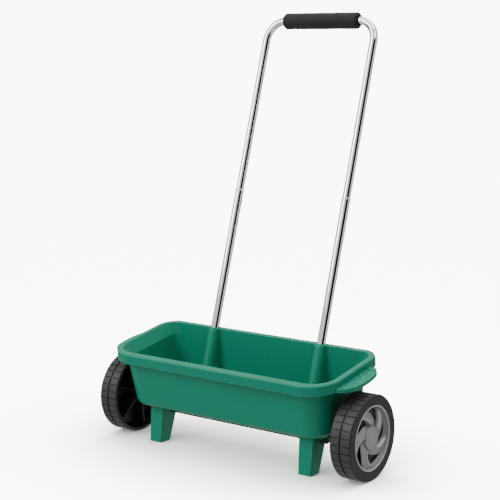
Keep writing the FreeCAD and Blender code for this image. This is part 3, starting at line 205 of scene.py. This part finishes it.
def softbox(name, place, target, size, power):
    """A square area light that faces a point."""
    light = bpy.data.lights.new(name, "AREA")
    light.shape = "RECTANGLE"
    light.size, light.size_y = size
    light.energy = power
    lamp = bpy.data.objects.new(name, light)
    bpy.context.scene.collection.objects.link(lamp)
    lamp.location = place
    lamp.rotation_euler = (Vector(target) - Vector(place)).to_track_quat("-Z", "Y").to_euler()
    return lamp


middle = (0.0, 0.0, 0.25)
softbox("key_softbox", (-1.5, -2.6, 2.2), middle, (1.6, 1.6), 58)
softbox("top_softbox", (0.2, 0.3, 3.0), middle, (2.6, 2.6), 52)
softbox("side_softbox", (2.1, -0.5, 2.6), middle, (1.2, 1.2), 22)

# %% Roll out the floor


def swept_floor():
    """A floor that rises in a quarter circle behind the object, like a roll of paper."""
    front, start, bend, height = -9.0, 5.0, 3.0, 6.0
    line = [(front, 0.0), (start, 0.0)]
    line += [
        (start + bend * math.sin(math.radians(a)), bend - bend * math.cos(math.radians(a)))
        for a in range(6, 91, 6)
    ]
    line.append((start + bend, height))
    mesh = bpy.data.meshes.new("studio_floor")
    points, faces = [], []
    for y, z in line:
        points += [(-14.0, y, z), (14.0, y, z)]
    for i in range(len(line) - 1):
        faces.append((2 * i, 2 * i + 1, 2 * i + 3, 2 * i + 2))
    mesh.from_pydata(points, [], faces)
    for face in mesh.polygons:
        face.use_smooth = True
    paper = bpy.data.objects.new("studio_floor", mesh)
    bpy.context.scene.collection.objects.link(paper)
    return paper


floor = swept_floor()
floor.rotation_euler.z = VIEW_AZIMUTH
floor.location.z = box_at_start[0][2]
floor.visible_diffuse = False
floor.visible_glossy = False
floor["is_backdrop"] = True
print("floor at height", round(floor.location.z, 5))

# %% [markdown]
# ## Effects that the finishes share
# Injection-moulded plastic, foam and rubber all want the same few things: a fine surface
# grain, a slow wander of colour, pale edges, and dust that settles on top. The pale edges are
# rubbed scuffs on the other plastics and a painted highlight on the green bin and the hub covers.
# Each is built once as a node group with named sockets, and each finish sets its own values.
# All of them read the piece's own coordinates, so they travel with a part that moves.

# %% Build a node group helper


class Group:
    """A shader node group being wired up."""

    def __init__(self, name, takes, gives):
        self.tree = bpy.data.node_groups.new(name, "ShaderNodeTree")
        for socket, kind, start in takes:
            made = self.tree.interface.new_socket(socket, in_out="INPUT", socket_type=kind)
            if start is not None:
                made.default_value = start
        for socket, kind in gives:
            self.tree.interface.new_socket(socket, in_out="OUTPUT", socket_type=kind)
        self.taken = self.tree.nodes.new("NodeGroupInput")
        self.given = self.tree.nodes.new("NodeGroupOutput")

    def add(self, kind, values=None, **settings):
        node = self.tree.nodes.new(kind)
        for name, setting in settings.items():
            setattr(node, name, setting)
        for socket, number in (values or {}).items():
            node.inputs[socket].default_value = number
        return node

    def link(self, source, target):
        self.tree.links.new(source, target)


NUMBER, COLOUR, VECTOR = "NodeSocketFloat", "NodeSocketColor", "NodeSocketVector"


def moulded_grain():
    """Spark-eroded mould texture: a fine pebble over a slow unevenness."""
    group = Group(
        "moulded_grain",
        [("Pebble", NUMBER, 900.0), ("Wander", NUMBER, 14.0)],
        [("Height", NUMBER), ("Patches", NUMBER)],
    )
    spot = group.add("ShaderNodeTexCoord")
    fine = group.add("ShaderNodeTexNoise", {"Detail": 4.0, "Roughness": 0.6})
    slow = group.add("ShaderNodeTexNoise", {"Detail": 2.0, "Roughness": 0.5})
    both = group.add("ShaderNodeMath", {1: 0.6}, operation="MULTIPLY_ADD")
    group.link(spot.outputs["Object"], fine.inputs["Vector"])
    group.link(spot.outputs["Object"], slow.inputs["Vector"])
    group.link(group.taken.outputs["Pebble"], fine.inputs["Scale"])
    group.link(group.taken.outputs["Wander"], slow.inputs["Scale"])
    group.link(fine.outputs["Fac"], both.inputs[0])
    group.link(slow.outputs["Fac"], both.inputs[2])
    group.link(both.outputs["Value"], group.given.inputs["Height"])
    group.link(slow.outputs["Fac"], group.given.inputs["Patches"])
    return group.tree


def edge_wear_and_highlight():
    """Where the surface turns sharply: 1 on an edge, 0 on a flat; it lays rubbed wear on some
    finishes and a painted highlight on others.
    """
    group = Group(
        "edge_wear_and_highlight",
        [("Reach", NUMBER, 0.0015), ("Breakup", NUMBER, 220.0)],
        [("Edge", NUMBER), ("Rounded", VECTOR)],
    )
    soft = group.add("ShaderNodeBevel", samples=6)
    true = group.add("ShaderNodeNewGeometry")
    compare = group.add("ShaderNodeVectorMath", operation="DOT_PRODUCT")
    turn = group.add("ShaderNodeMapRange", {"From Min": 0.995, "From Max": 0.86})
    spot = group.add("ShaderNodeTexCoord")
    ragged = group.add("ShaderNodeTexNoise", {"Detail": 3.0})
    chew = group.add("ShaderNodeMapRange", {"From Min": 0.35, "From Max": 0.62})
    both = group.add("ShaderNodeMath", operation="MULTIPLY")
    group.link(group.taken.outputs["Reach"], soft.inputs["Radius"])
    group.link(soft.outputs["Normal"], compare.inputs[0])
    group.link(true.outputs["Normal"], compare.inputs[1])
    group.link(compare.outputs["Value"], turn.inputs["Value"])
    group.link(spot.outputs["Object"], ragged.inputs["Vector"])
    group.link(group.taken.outputs["Breakup"], ragged.inputs["Scale"])
    group.link(ragged.outputs["Fac"], chew.inputs["Value"])
    group.link(turn.outputs["Result"], both.inputs[0])
    group.link(chew.outputs["Result"], both.inputs[1])
    group.link(both.outputs["Value"], group.given.inputs["Edge"])
    group.link(soft.outputs["Normal"], group.given.inputs["Rounded"])
    return group.tree


def settled_dust():
    """Dust lies on what faces up, thicker in patches."""
    group = Group("settled_dust", [("Amount", NUMBER, 0.2)], [("Dust", NUMBER)])
    true = group.add("ShaderNodeNewGeometry")
    split_normal = group.add("ShaderNodeSeparateXYZ")
    upward = group.add("ShaderNodeMapRange", {"From Min": 0.2, "From Max": 1.0})
    spot = group.add("ShaderNodeTexCoord")
    cloud = group.add("ShaderNodeTexNoise", {"Scale": 45.0, "Detail": 6.0, "Roughness": 0.7})
    thin = group.add("ShaderNodeMapRange", {"From Min": 0.4, "From Max": 0.75})
    patch = group.add("ShaderNodeMath", operation="MULTIPLY")
    dose = group.add("ShaderNodeMath", operation="MULTIPLY")
    group.link(true.outputs["Normal"], split_normal.inputs["Vector"])
    group.link(split_normal.outputs["Z"], upward.inputs["Value"])
    group.link(spot.outputs["Object"], cloud.inputs["Vector"])
    group.link(cloud.outputs["Fac"], thin.inputs["Value"])
    group.link(upward.outputs["Result"], patch.inputs[0])
    group.link(thin.outputs["Result"], patch.inputs[1])
    group.link(patch.outputs["Value"], dose.inputs[0])
    group.link(group.taken.outputs["Amount"], dose.inputs[1])
    group.link(dose.outputs["Value"], group.given.inputs["Dust"])
    return group.tree


def distance_from_axle():
    """A mask over a band of radii round the axle, for pieces that are turned about it."""
    group = Group(
        "distance_from_axle",
        [("Inner", NUMBER, 0.06), ("Outer", NUMBER, 0.08)],
        [("Band", NUMBER)],
    )
    spot = group.add("ShaderNodeTexCoord")
    shift = group.add("ShaderNodeVectorMath", operation="SUBTRACT")
    shift.inputs[1].default_value = axle
    flat = group.add("ShaderNodeVectorMath", operation="MULTIPLY")
    flat.inputs[1].default_value = (0, 1, 1)
    radius = group.add("ShaderNodeVectorMath", operation="LENGTH")
    band = group.add("ShaderNodeMapRange")
    group.link(spot.outputs["Object"], shift.inputs[0])
    group.link(shift.outputs["Vector"], flat.inputs[0])
    group.link(flat.outputs["Vector"], radius.inputs[0])
    group.link(radius.outputs["Value"], band.inputs["Value"])
    group.link(group.taken.outputs["Inner"], band.inputs["From Min"])
    group.link(group.taken.outputs["Outer"], band.inputs["From Max"])
    group.link(band.outputs["Result"], group.given.inputs["Band"])
    return group.tree


GRAIN, EDGES = moulded_grain(), edge_wear_and_highlight()
DUST, BAND = settled_dust(), distance_from_axle()
print("shared effects:", [tree.name for tree in (GRAIN, EDGES, DUST, BAND)])

# %% [markdown]
# ## The finishes
# Every finish is a Principled surface with its own base colour and sheen, and the shared
# effects layered over it: first the colour's slow wander, then pale edges (rubbed wear, but a
# painted highlight on the green bin and the hub grey), then dust. A small class keeps that
# recipe readable, so that each finish below is only its own numbers.

# %% Write the finish recipe


class Finish:
    """One material: a Principled surface and the layers of colour and height over it."""

    def __init__(self, name, colour, roughness, metallic=0.0, **sockets):
        self.material = bpy.data.materials.new(name)
        self.material.use_nodes = True
        self.tree = self.material.node_tree
        self.tree.nodes.clear()
        self.surface = self.tree.nodes.new("ShaderNodeBsdfPrincipled")
        self.output = self.tree.nodes.new("ShaderNodeOutputMaterial")
        self.link(self.surface.outputs["BSDF"], self.output.inputs["Surface"])
        self.surface.inputs["Base Color"].default_value = (*colour, 1)
        self.surface.inputs["Roughness"].default_value = roughness
        self.surface.inputs["Metallic"].default_value = metallic
        for socket, number in sockets.items():
            self.surface.inputs[socket.replace("_", " ")].default_value = number
        self.material.diffuse_color = (*colour, 1)
        self.colour = None
        self.flat_colour = (*colour, 1)

    def link(self, source, target):
        self.tree.links.new(source, target)

    def group(self, tree, **numbers):
        node = self.tree.nodes.new("ShaderNodeGroup")
        node.node_tree = tree
        for socket, number in numbers.items():
            node.inputs[socket].default_value = number
        return node

    def layer(self, mask, colour, strength=1.0):
        """Lay a colour over what is there, where the mask says."""
        dose = self.tree.nodes.new("ShaderNodeMath")
        dose.operation = "MULTIPLY"
        dose.inputs[1].default_value = strength
        dose.use_clamp = True
        mix = self.tree.nodes.new("ShaderNodeMix")
        mix.data_type = "RGBA"
        self.link(mask, dose.inputs[0])
        self.link(dose.outputs["Value"], mix.inputs["Factor"])
        if self.colour is None:
            mix.inputs["A"].default_value = self.flat_colour
        else:
            self.link(self.colour, mix.inputs["A"])
        mix.inputs["B"].default_value = (*colour, 1)
        self.colour = mix.outputs["Result"]
        self.link(self.colour, self.surface.inputs["Base Color"])
        return self

    def roughen(self, mask, low, high):
        spread = self.tree.nodes.new("ShaderNodeMapRange")
        spread.inputs["To Min"].default_value = low
        spread.inputs["To Max"].default_value = high
        self.link(mask, spread.inputs["Value"])
        self.link(spread.outputs["Result"], self.surface.inputs["Roughness"])
        return self

    def bump(self, height, depth, strength, under=None):
        node = self.tree.nodes.new("ShaderNodeBump")
        node.inputs["Distance"].default_value = depth
        node.inputs["Strength"].default_value = strength
        self.link(height, node.inputs["Height"])
        if under is not None:
            self.link(under, node.inputs["Normal"])
        self.link(node.outputs["Normal"], self.surface.inputs["Normal"])
        return self


def moulded(
    name, colour, pale, roughness, edge=0.35, dust=0.15, reach=0.0012, pebble=900.0, depth=0.00004,
):
    """Moulded plastic: grain, wandering tone, pale edges and a little dust; the pale edges are
    rubbed wear, except on the green and the hub grey, where they are a painted highlight.
    """
    finish = Finish(name, colour, roughness)
    grain = finish.group(GRAIN, Pebble=pebble)
    edges = finish.group(EDGES, Reach=reach)
    dusty = finish.group(DUST, Amount=dust)
    deeper = [c * 0.8 for c in colour]
    finish.layer(grain.outputs["Patches"], deeper, 0.55)
    # pale edges: rubbed wear on most plastics, a painted highlight on the green bin and the hub
    # grey
    finish.layer(edges.outputs["Edge"], pale, edge)
    finish.layer(dusty.outputs["Dust"], (0.5, 0.49, 0.46), 1.0)
    finish.roughen(grain.outputs["Patches"], roughness - 0.08, roughness + 0.12)
    finish.bump(grain.outputs["Height"], depth, 0.6, edges.outputs["Rounded"])
    return finish


# %% [markdown]
# ### Green plastic
# The bin and its feet are polypropylene: a strong, slightly waxy green whose edges catch a
# pale light. A flat colour would look like paper, so the tone wanders slowly, the edges get a
# painted highlight in a pale green, and the normal is rounded where two faces meet.

# %% Mix the plastics
# edge=0.9 with the pale green paints a highlight along the bin's rims and edges
green = moulded(
    "bin_green_plastic", (0.0004, 0.235, 0.14), (0.15, 0.78, 0.6), 0.34,
    edge=0.9, dust=0.03, reach=0.0018,
)
lever_black = moulded("lever_black_plastic", (0.02, 0.02, 0.021), (0.2, 0.2, 0.2), 0.45)
rail_black = moulded("rail_black_plastic", (0.022, 0.022, 0.023), (0.18, 0.18, 0.18), 0.5)
agitator_black = moulded(
    "agitator_black_plastic", (0.02, 0.02, 0.02), (0.3, 0.28, 0.22), 0.5, dust=0.5,
)
nylon = moulded("cream_nylon", (0.62, 0.6, 0.54), (0.8, 0.78, 0.72), 0.4)
green.surface.inputs["Specular IOR Level"].default_value = 0.22
print("plastics:", [m.name for m in bpy.data.materials if m.name.endswith("plastic")])

# %% [markdown]
# ### Wheel plastic and hub grey
# The wheel's tread has been rolled over paths, so the faces of its lugs are greyer and rougher
# than the sidewall. A mask over the distance from the axle picks out the lugs' faces, and the
# same trick lightens the ring round the hub cover. The hub grey's pale edges and the band along
# each blade's leading edge are a painted highlight.

# %% Mix the wheel's two finishes
tread_black = moulded(
    "wheel_black_plastic", (0.009, 0.009, 0.0095), (0.09, 0.09, 0.092), 0.5, edge=0.4, dust=0.1,
    reach=0.0009, pebble=700.0, depth=0.00008,
)
lug_faces = tread_black.group(BAND, Inner=0.0788, Outer=0.0797)
tread_black.layer(lug_faces.outputs["Band"], (0.035, 0.035, 0.036), 0.8)
# edge=0.8 with the near-white grey paints a highlight along the cover's edges
hub_grey = moulded(
    "hub_grey_plastic", (0.30, 0.30, 0.305), (0.8, 0.8, 0.81), 0.3,
    edge=0.8, dust=0.06, reach=0.0009,
)
# a painted highlight along each blade's leading edge, read from the cover's mesh
blade_highlight_attribute = hub_grey.tree.nodes.new("ShaderNodeAttribute")
blade_highlight_attribute.attribute_name = "painted_highlight"
hub_grey.layer(blade_highlight_attribute.outputs["Fac"], (0.8, 0.8, 0.81), 0.9)
ring_face = hub_grey.group(BAND, Inner=0.0574, Outer=0.0582)
hub_grey.layer(ring_face.outputs["Band"], (0.5, 0.5, 0.51), 0.8)
print("wheel finishes ready")

# %% [markdown]
# ### Metals
# Plated tube is almost a mirror, but handling leaves faint smudges that show only as a change
# of roughness. Zinc-plated screws and the steel axle are duller and slightly blotched.

# %% Mix the metals


def metal(name, colour, roughness, smudge, tarnish):
    finish = Finish(name, colour, roughness, metallic=1.0)
    grain = finish.group(GRAIN, Pebble=500.0, Wander=30.0)
    edges = finish.group(EDGES, Reach=0.0005)
    finish.layer(grain.outputs["Patches"], tarnish, 0.35)
    finish.roughen(grain.outputs["Patches"], roughness, roughness + smudge)
    finish.bump(grain.outputs["Height"], 0.000004, 0.3, edges.outputs["Rounded"])
    return finish


chrome = metal("tube_chrome", (0.93, 0.935, 0.945), 0.02, 0.03, (0.78, 0.79, 0.81))
steel = metal("turned_steel", (0.5, 0.5, 0.5), 0.25, 0.2, (0.3, 0.28, 0.26))
zinc = metal("plated_zinc", (0.62, 0.61, 0.56), 0.25, 0.2, (0.45, 0.44, 0.4))
plate = metal("sheet_steel", (0.55, 0.56, 0.57), 0.22, 0.25, (0.4, 0.4, 0.41))
print("metals:", [f.material.name for f in (chrome, steel, zinc, plate)])

# %% [markdown]
# ### Foam
# The grip is closed-cell foam: thousands of tiny bubbles cut by the mould skin, so it is matt
# with a soft bloom at grazing angles. Small Voronoi cells make the bubbles, and sheen makes
# the bloom.

# %% Mix the foam
foam = Finish(
    "closed_cell_foam", (0.005, 0.005, 0.0053), 0.8, Sheen_Weight=0.04, Sheen_Roughness=0.5,
)
cells = foam.tree.nodes.new("ShaderNodeTexVoronoi")
cells.inputs["Scale"].default_value = 1300.0
foam_spot = foam.tree.nodes.new("ShaderNodeTexCoord")
foam.link(foam_spot.outputs["Object"], cells.inputs["Vector"])
foam_grain = foam.group(GRAIN, Pebble=400.0, Wander=40.0)
foam.layer(foam_grain.outputs["Patches"], (0.012, 0.012, 0.0125), 0.7)
foam.roughen(foam_grain.outputs["Patches"], 0.7, 0.92)
foam.bump(cells.outputs["Distance"], 0.0003, 0.5)
print("foam cells per centimetre: about", round(cells.inputs["Scale"].default_value / 100))

# %% [markdown]
# ### The floor's paper
# A photographer's paper roll is off-white and faintly fibrous. It has to be close to the white
# of the room, or its edge would show as a line, so it glows a little by itself. A glow takes no
# shadow; the soft dark under the feet and the wheels comes back by dimming it where ambient
# occlusion finds something close above.

# %% Mix the paper
paper = Finish("studio_paper", (0.93, 0.93, 0.93), 0.9, Emission_Strength=9.0)
openness = paper.tree.nodes.new("ShaderNodeAmbientOcclusion")
openness.samples = 12
openness.inputs["Distance"].default_value = 0.34
shade = paper.tree.nodes.new("ShaderNodeValToRGB")
shade.color_ramp.elements[0].position = 0.18
shade.color_ramp.elements[0].color = (0.02, 0.02, 0.02, 1)
shade.color_ramp.elements[1].position = 0.98
shade.color_ramp.elements[1].color = (1, 1, 1, 1)
for openness_share, level in ((0.55, 0.14), (0.82, 0.5)):
    shade.color_ramp.elements.new(openness_share).color = (level, level, level, 1)
paper.link(openness.outputs["AO"], shade.inputs["Fac"])
paper.link(shade.outputs["Color"], paper.surface.inputs["Emission Color"])
fibres = paper.group(GRAIN, Pebble=160.0, Wander=1.5)
paper.layer(fibres.outputs["Patches"], (0.9, 0.9, 0.9), 0.4)
floor.data.materials.append(paper.material)
print("floor finish:", floor.data.materials[0].name)

# %% [markdown]
# ## Dressing the frame's own pieces
# A CAD piece whose shape is right keeps it, and only its material slot changes. A table from
# finish to pieces is easier to read, and to check, than thirty separate assignments.

# %% Give each piece its finish
DRESS = {
    green: ["hopper", "left_foot", "right_foot"],
    chrome: ["left_lower_tube", "right_lower_tube", "upper_handle"],
    zinc: [
        "handle_screws", "handle_nuts", "joint_screws", "rail_screws", "lever_pivot", "foot_screws",
    ],
    nylon: ["left_bush", "right_bush"],
    rail_black: ["front_rail", "back_rail"],
    steel: [
        "axle", "drive_pin", "left_spacer", "right_spacer", "left_washer", "right_washer",
        "left_split_pin", "right_split_pin",
    ],
    agitator_black: ["agitator"],
    tread_black: ["left_wheel", "right_wheel"],
    plate: ["dosing_slide"],
    lever_black: ["dosing_lever"],
}
for finish, names in DRESS.items():
    for name in names:
        mesh = parts[name].data
        if not mesh.materials:
            mesh.materials.append(None)
        for i in range(len(mesh.materials)):
            mesh.materials[i] = finish.material
print("pieces dressed:", sum(len(names) for names in DRESS.values()))

# %% [markdown]
# ## Mesh helpers
# Two shapes come up again and again: a profile turned about a line, and a mesh that must land
# in the scene with a finish and a body to ride on. Both are worth a helper.

# %% Write the mesh helpers


def place_mesh(name, work, finish, body, smooth=True):
    """Turn a bmesh into an object of the spreader."""
    bmesh.ops.recalc_face_normals(work, faces=work.faces)
    mesh = bpy.data.meshes.new(name)
    work.to_mesh(mesh)
    work.free()
    for face in mesh.polygons:
        face.use_smooth = smooth
    mesh.materials.append(finish.material)
    piece = bpy.data.objects.new(name, mesh)
    bpy.context.scene.collection.objects.link(piece)
    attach(piece, body)
    return piece


def turn_profile(profile, origin, along, steps):
    """A bmesh ring of a closed (distance, radius) profile turned about a line."""
    along = along.normalized()
    across = along.orthogonal().normalized()
    upright = along.cross(across)
    work = bmesh.new()
    rings = []
    for step in range(steps):
        angle = math.tau * step / steps
        out = across * math.cos(angle) + upright * math.sin(angle)
        rings.append([work.verts.new(origin + along * a + out * r) for a, r in profile])
    for i, ring in enumerate(rings):
        after = rings[(i + 1) % steps]
        for j in range(len(profile)):
            k = (j + 1) % len(profile)
            work.faces.new((ring[j], ring[k], after[k], after[j]))
    return work

# %% [markdown]
# ## The hub covers
# Each cover is a shallow dish with a domed middle, five swept blades and a raised ring. A
# turned shape alone can't sweep, and five separate blades never meet the dish cleanly, so the
# whole face is one polar sheet: every point's height comes from its radius and from how far
# round it is, measured along a curve that trails as it goes out. Windows between the blades
# are left open, and a thickness closes the sheet into a solid.

# %% Measure the cover
COVER_RADIUS = 61.3 * MM
BLADES = 5
cover_low, cover_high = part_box("right_hub_cover")
COVER_BACK = cover_low.x
DISH_DEPTH = cover_high.x - COVER_BACK
print("cover depth in mm:", round(DISH_DEPTH / MM, 2))

# %% Shape the cover's face


def smooth(low, high, at):
    share = min(1.0, max(0.0, (at - low) / (high - low)))
    return share * share * (3 - 2 * share)


def blend_between(a, b, share):
    return a + (b - a) * share


HUB_EDGE, BLADE_ROOT, BLADE_TIP, RING_INNER = 21.0 * MM, 24.0 * MM, 55.6 * MM, 57.2 * MM
SWEEP = math.radians(40)
FIRST_EDGE = math.radians(-8)


def blade_phase(radius, angle):
    """Where a point lies between two blades: 0 at one leading edge, 1 at the next."""
    out = min(1.0, max(0.0, (radius - BLADE_ROOT) / (BLADE_TIP - BLADE_ROOT)))
    trailing = angle - FIRST_EDGE + SWEEP * out ** 1.25
    return (trailing * BLADES / math.tau) % 1.0


def face_height(radius, angle):
    """Height of the cover's face over its back, as a share of the dish's depth."""
    if radius < HUB_EDGE:
        return 0.985 - 0.10 * (radius / HUB_EDGE) ** 2
    if radius > RING_INNER:
        rise = smooth(RING_INNER, RING_INNER + 0.9 * MM, radius)
        fall = smooth(COVER_RADIUS - 0.9 * MM, COVER_RADIUS, radius)
        return blend_between(0.42, 1.0, rise) - 0.16 * fall
    phase = blade_phase(radius, angle)
    crest = smooth(0.0, 0.05, phase) * (1 - phase) ** 0.9
    out = (radius - BLADE_ROOT) / (BLADE_TIP - BLADE_ROOT)
    blade = 0.06 + crest * (0.84 - 0.22 * out)
    root = smooth(HUB_EDGE, BLADE_ROOT, radius)
    collar = blend_between(0.885, 0.4, smooth(HUB_EDGE, HUB_EDGE + 1.2 * MM, radius))
    inner = blend_between(collar, blade, root)
    return blend_between(inner, 0.42, smooth(BLADE_TIP, RING_INNER, radius))


def is_window(radius, angle):
    """The opening behind each blade."""
    if not 26.5 * MM < radius < 54.6 * MM:
        return False
    phase = blade_phase(radius, angle)
    wide = 0.24 * smooth(26.5 * MM, 42.0 * MM, radius)
    return 0.72 - wide < phase < 0.985


def blade_edge_highlight(radius, angle):
    """1 along a blade's leading edge, where a painted highlight lightens the grey."""
    if not BLADE_ROOT < radius < BLADE_TIP:
        return 0.0
    away = abs(blade_phase(radius, angle) - 0.05)
    fade = smooth(BLADE_ROOT, 34 * MM, radius) * (1 - smooth(50 * MM, BLADE_TIP, radius))
    return fade * (1 - smooth(0.012, 0.05, away))


def cover_radii():
    """Radii of the polar sheet's rings, closer together where the face turns sharply."""
    radii = [HUB_EDGE * share for share in (0.12, 0.3, 0.5, 0.68, 0.82, 0.92, 0.98)]
    radii += [HUB_EDGE + step * 0.4 * MM for step in range(8)]
    count = 30
    radii += [blend_between(BLADE_ROOT + 0.4 * MM, BLADE_TIP, i / count) for i in range(count + 1)]
    radii += [blend_between(BLADE_TIP, RING_INNER, s) for s in (0.4, 0.8)]
    radii += [RING_INNER + step * 0.3 * MM for step in range(4)]
    ring_start, ring_end = RING_INNER + 1.0 * MM, COVER_RADIUS - 1.0 * MM
    radii += [blend_between(ring_start, ring_end, s) for s in (0.3, 0.7, 1.0)]
    radii += [COVER_RADIUS - rest * MM for rest in (0.7, 0.4, 0.2, 0.0)]
    return radii


def hub_cover(name, side, body):
    """The cover on one side; side is 1 on the right and -1 on the left."""
    steps = 400
    radii = cover_radii()
    work = bmesh.new()
    painted_highlight = work.verts.layers.float.new("painted_highlight")

    def vertex(radius, angle):
        height = COVER_BACK + face_height(radius, angle) * DISH_DEPTH
        y = axle.y + side * radius * math.sin(angle)
        made = work.verts.new(Vector((side * height, y, axle.z + radius * math.cos(angle))))
        # store the painted highlight along the blades' leading edges on each vertex
        made[painted_highlight] = blade_edge_highlight(radius, angle)
        return made

    rings = [[vertex(r, math.tau * k / steps) for k in range(steps)] for r in radii]
    centre = vertex(0.0, 0.0)
    for k in range(steps):
        after = (k + 1) % steps
        work.faces.new((centre, rings[0][k], rings[0][after]))
        for j in range(len(radii) - 1):
            at_radius = (radii[j] + radii[j + 1]) / 2
            if is_window(at_radius, math.tau * (k + 0.5) / steps):
                continue
            work.faces.new((rings[j][k], rings[j + 1][k], rings[j + 1][after], rings[j][after]))
    back = [
        work.verts.new(Vector((side * COVER_BACK, v.co.y, v.co.z))) for v in rings[-1]
    ]
    for k in range(steps):
        after = (k + 1) % steps
        work.faces.new((rings[-1][k], back[k], back[after], rings[-1][after]))
    bmesh.ops.delete(work, geom=[v for v in work.verts if not v.link_faces], context="VERTS")
    cover = place_mesh(name, work, hub_grey, body)
    outward = sum((f.normal.x * f.area for f in cover.data.polygons))
    if outward * side < 0:
        cover.data.flip_normals()
    skin = cover.modifiers.new("sheet", "SOLIDIFY")
    skin.thickness = 1.3 * MM
    skin.offset = -1
    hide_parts(f"{name.split('_')[0]}_hub_cover")
    return cover


right_cover = hub_cover("right_swirl_cover", 1, "drive_axle")
hub_cover("left_swirl_cover", -1, "left_wheel_set")
print("faces in one cover:", len(right_cover.data.polygons))

# %% [markdown]
# ## The foam grip
# Foam tube is pushed over the bar before it is bent, so its ends are cut square, dished where
# they squeeze round the tube, and rounded outside. Hands and shipping leave shallow dents. A
# turned profile gives the tube, and a slow noise presses the skin in by a fraction of a
# millimetre.

# %% Make the grip
grip_low, grip_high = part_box("grip")
grip_middle = (grip_low + grip_high) / 2
GRIP_HALF = (grip_high.x - grip_low.x) / 2
GRIP_RADIUS = (grip_high.z - grip_low.z) / 2
TUBE_RADIUS = 8.0 * MM


def grip_profile():
    """Half of the section: out along the dished end, round the corner and along the skin."""
    corner = 4.2 * MM
    dish = 2.6 * MM
    line = [(GRIP_HALF - dish * 1.9, TUBE_RADIUS + 0.05 * MM)]
    for share in (0.15, 0.4, 0.7, 1.0):
        radius = blend_between(TUBE_RADIUS + 0.4 * MM, GRIP_RADIUS - corner, share)
        line.append((GRIP_HALF - dish * (1 - smooth(0.0, 1.0, share)), radius))
    for angle in range(15, 91, 15):
        a = math.radians(angle)
        line.append((
            GRIP_HALF - corner * (1 - math.cos(a)),
            GRIP_RADIUS - corner * (1 - math.sin(a)),
        ))
    along = GRIP_HALF - corner
    skin = 26
    line += [(blend_between(along, 0.0, i / skin), GRIP_RADIUS) for i in range(1, skin + 1)]
    mirrored = [(-a, r) for a, r in reversed(line) if a > 1e-6]
    return line + mirrored


grip_mesh = turn_profile(grip_profile(), grip_middle, Vector((1, 0, 0)), 96)
for vertex in grip_mesh.verts:
    away = vertex.co - grip_middle
    away.x = 0
    depth = smooth(TUBE_RADIUS + 2 * MM, GRIP_RADIUS, away.length)
    dent = noise.noise(vertex.co * 38.0) * 0.35 + noise.noise(vertex.co * 120.0) * 0.12 - 0.4
    vertex.co += away.normalized() * min(0.0, dent) * depth * MM
grip = place_mesh("foam_grip", grip_mesh, foam, "chassis")
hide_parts("grip")
print("grip length in mm:", round(2 * GRIP_HALF / MM, 1))

# %% [markdown]
# ## Small trims on the handle
# Where each leg drops into the bin the plastic stands up in a low collar, and where the two
# halves of the handle meet the lower tube's mouth is rolled into a bead. Both are little
# turned rings that must lie square to the leg, so the leg's own line is measured first.

# %% Find the line of each leg
tube_low, tube_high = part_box("right_lower_tube")
LEG_X = (tube_low.x + tube_high.x) / 2
LOWER_RADIUS = (tube_high.x - tube_low.x) / 2
LEG_LEAN = math.radians(17.3)
leg_up = Vector((0, math.sin(LEG_LEAN), math.cos(LEG_LEAN)))
tube_top = Vector((
    LEG_X,
    tube_high.y - LOWER_RADIUS * math.cos(LEG_LEAN),
    tube_high.z - LOWER_RADIUS * math.sin(LEG_LEAN),
))
bin_low, bin_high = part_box("hopper")
BIN_TILT = math.radians(9.1)
rim_normal = Vector((0, -math.sin(BIN_TILT), math.cos(BIN_TILT)))
rim_back_top = Vector((LEG_X, bin_high.y, bin_high.z))
to_rim = (rim_back_top - tube_top).dot(rim_normal) / leg_up.dot(rim_normal)
at_rim = tube_top + leg_up * to_rim
print("leg meets the rim at height", round(at_rim.z, 4), "m")

# %% Roll the beads and stand up the collars


def rounded_ring(inner, outer, low, high, corner):
    """A closed profile of a ring with softened outer corners."""
    return [
        (low, inner),
        (low, outer - corner),
        (low + corner * 0.3, outer - corner * 0.3),
        (low + corner, outer),
        (high - corner, outer),
        (high - corner * 0.3, outer - corner * 0.3),
        (high, outer - corner),
        (high, inner + corner * 0.4),
        (high - corner * 0.4, inner),
    ]


BEAD = rounded_ring(
    TUBE_RADIUS + 0.06 * MM, LOWER_RADIUS + 0.45 * MM, -2.2 * MM, 0.5 * MM, 0.7 * MM,
)
COLLAR = rounded_ring(
    LOWER_RADIUS + 0.15 * MM, LOWER_RADIUS + 2.6 * MM, -7.0 * MM, 1.4 * MM, 0.9 * MM,
)
RING_STEPS = 64
for side, label in ((1, "right"), (-1, "left")):
    mouth = Vector((side * tube_top.x, tube_top.y, tube_top.z))
    bead = turn_profile(BEAD, mouth, leg_up, RING_STEPS)
    place_mesh(f"{label}_tube_bead", bead, chrome, "chassis")
    entry = Vector((side * at_rim.x, at_rim.y, at_rim.z))
    collar = turn_profile(COLLAR, entry, leg_up, RING_STEPS)
    place_mesh(f"{label}_leg_collar", collar, green, "chassis")
print("beads and collars made")

# %% [markdown]
# ## Last look at the sizes
# The visual model should stay inside the engineering model's box. The largest growth past
# that box along each axis is printed, so that any trim that sticks out shows at once.

# %% Write the sizes and finish
box_at_end = [list(corner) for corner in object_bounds()]
growth = [
    round(max(s[0] - e[0], e[1] - s[1]) / MM, 2)
    for s, e in zip(zip(*box_at_start), zip(*box_at_end))
]
print("largest growth along x, y, z in mm:", growth)
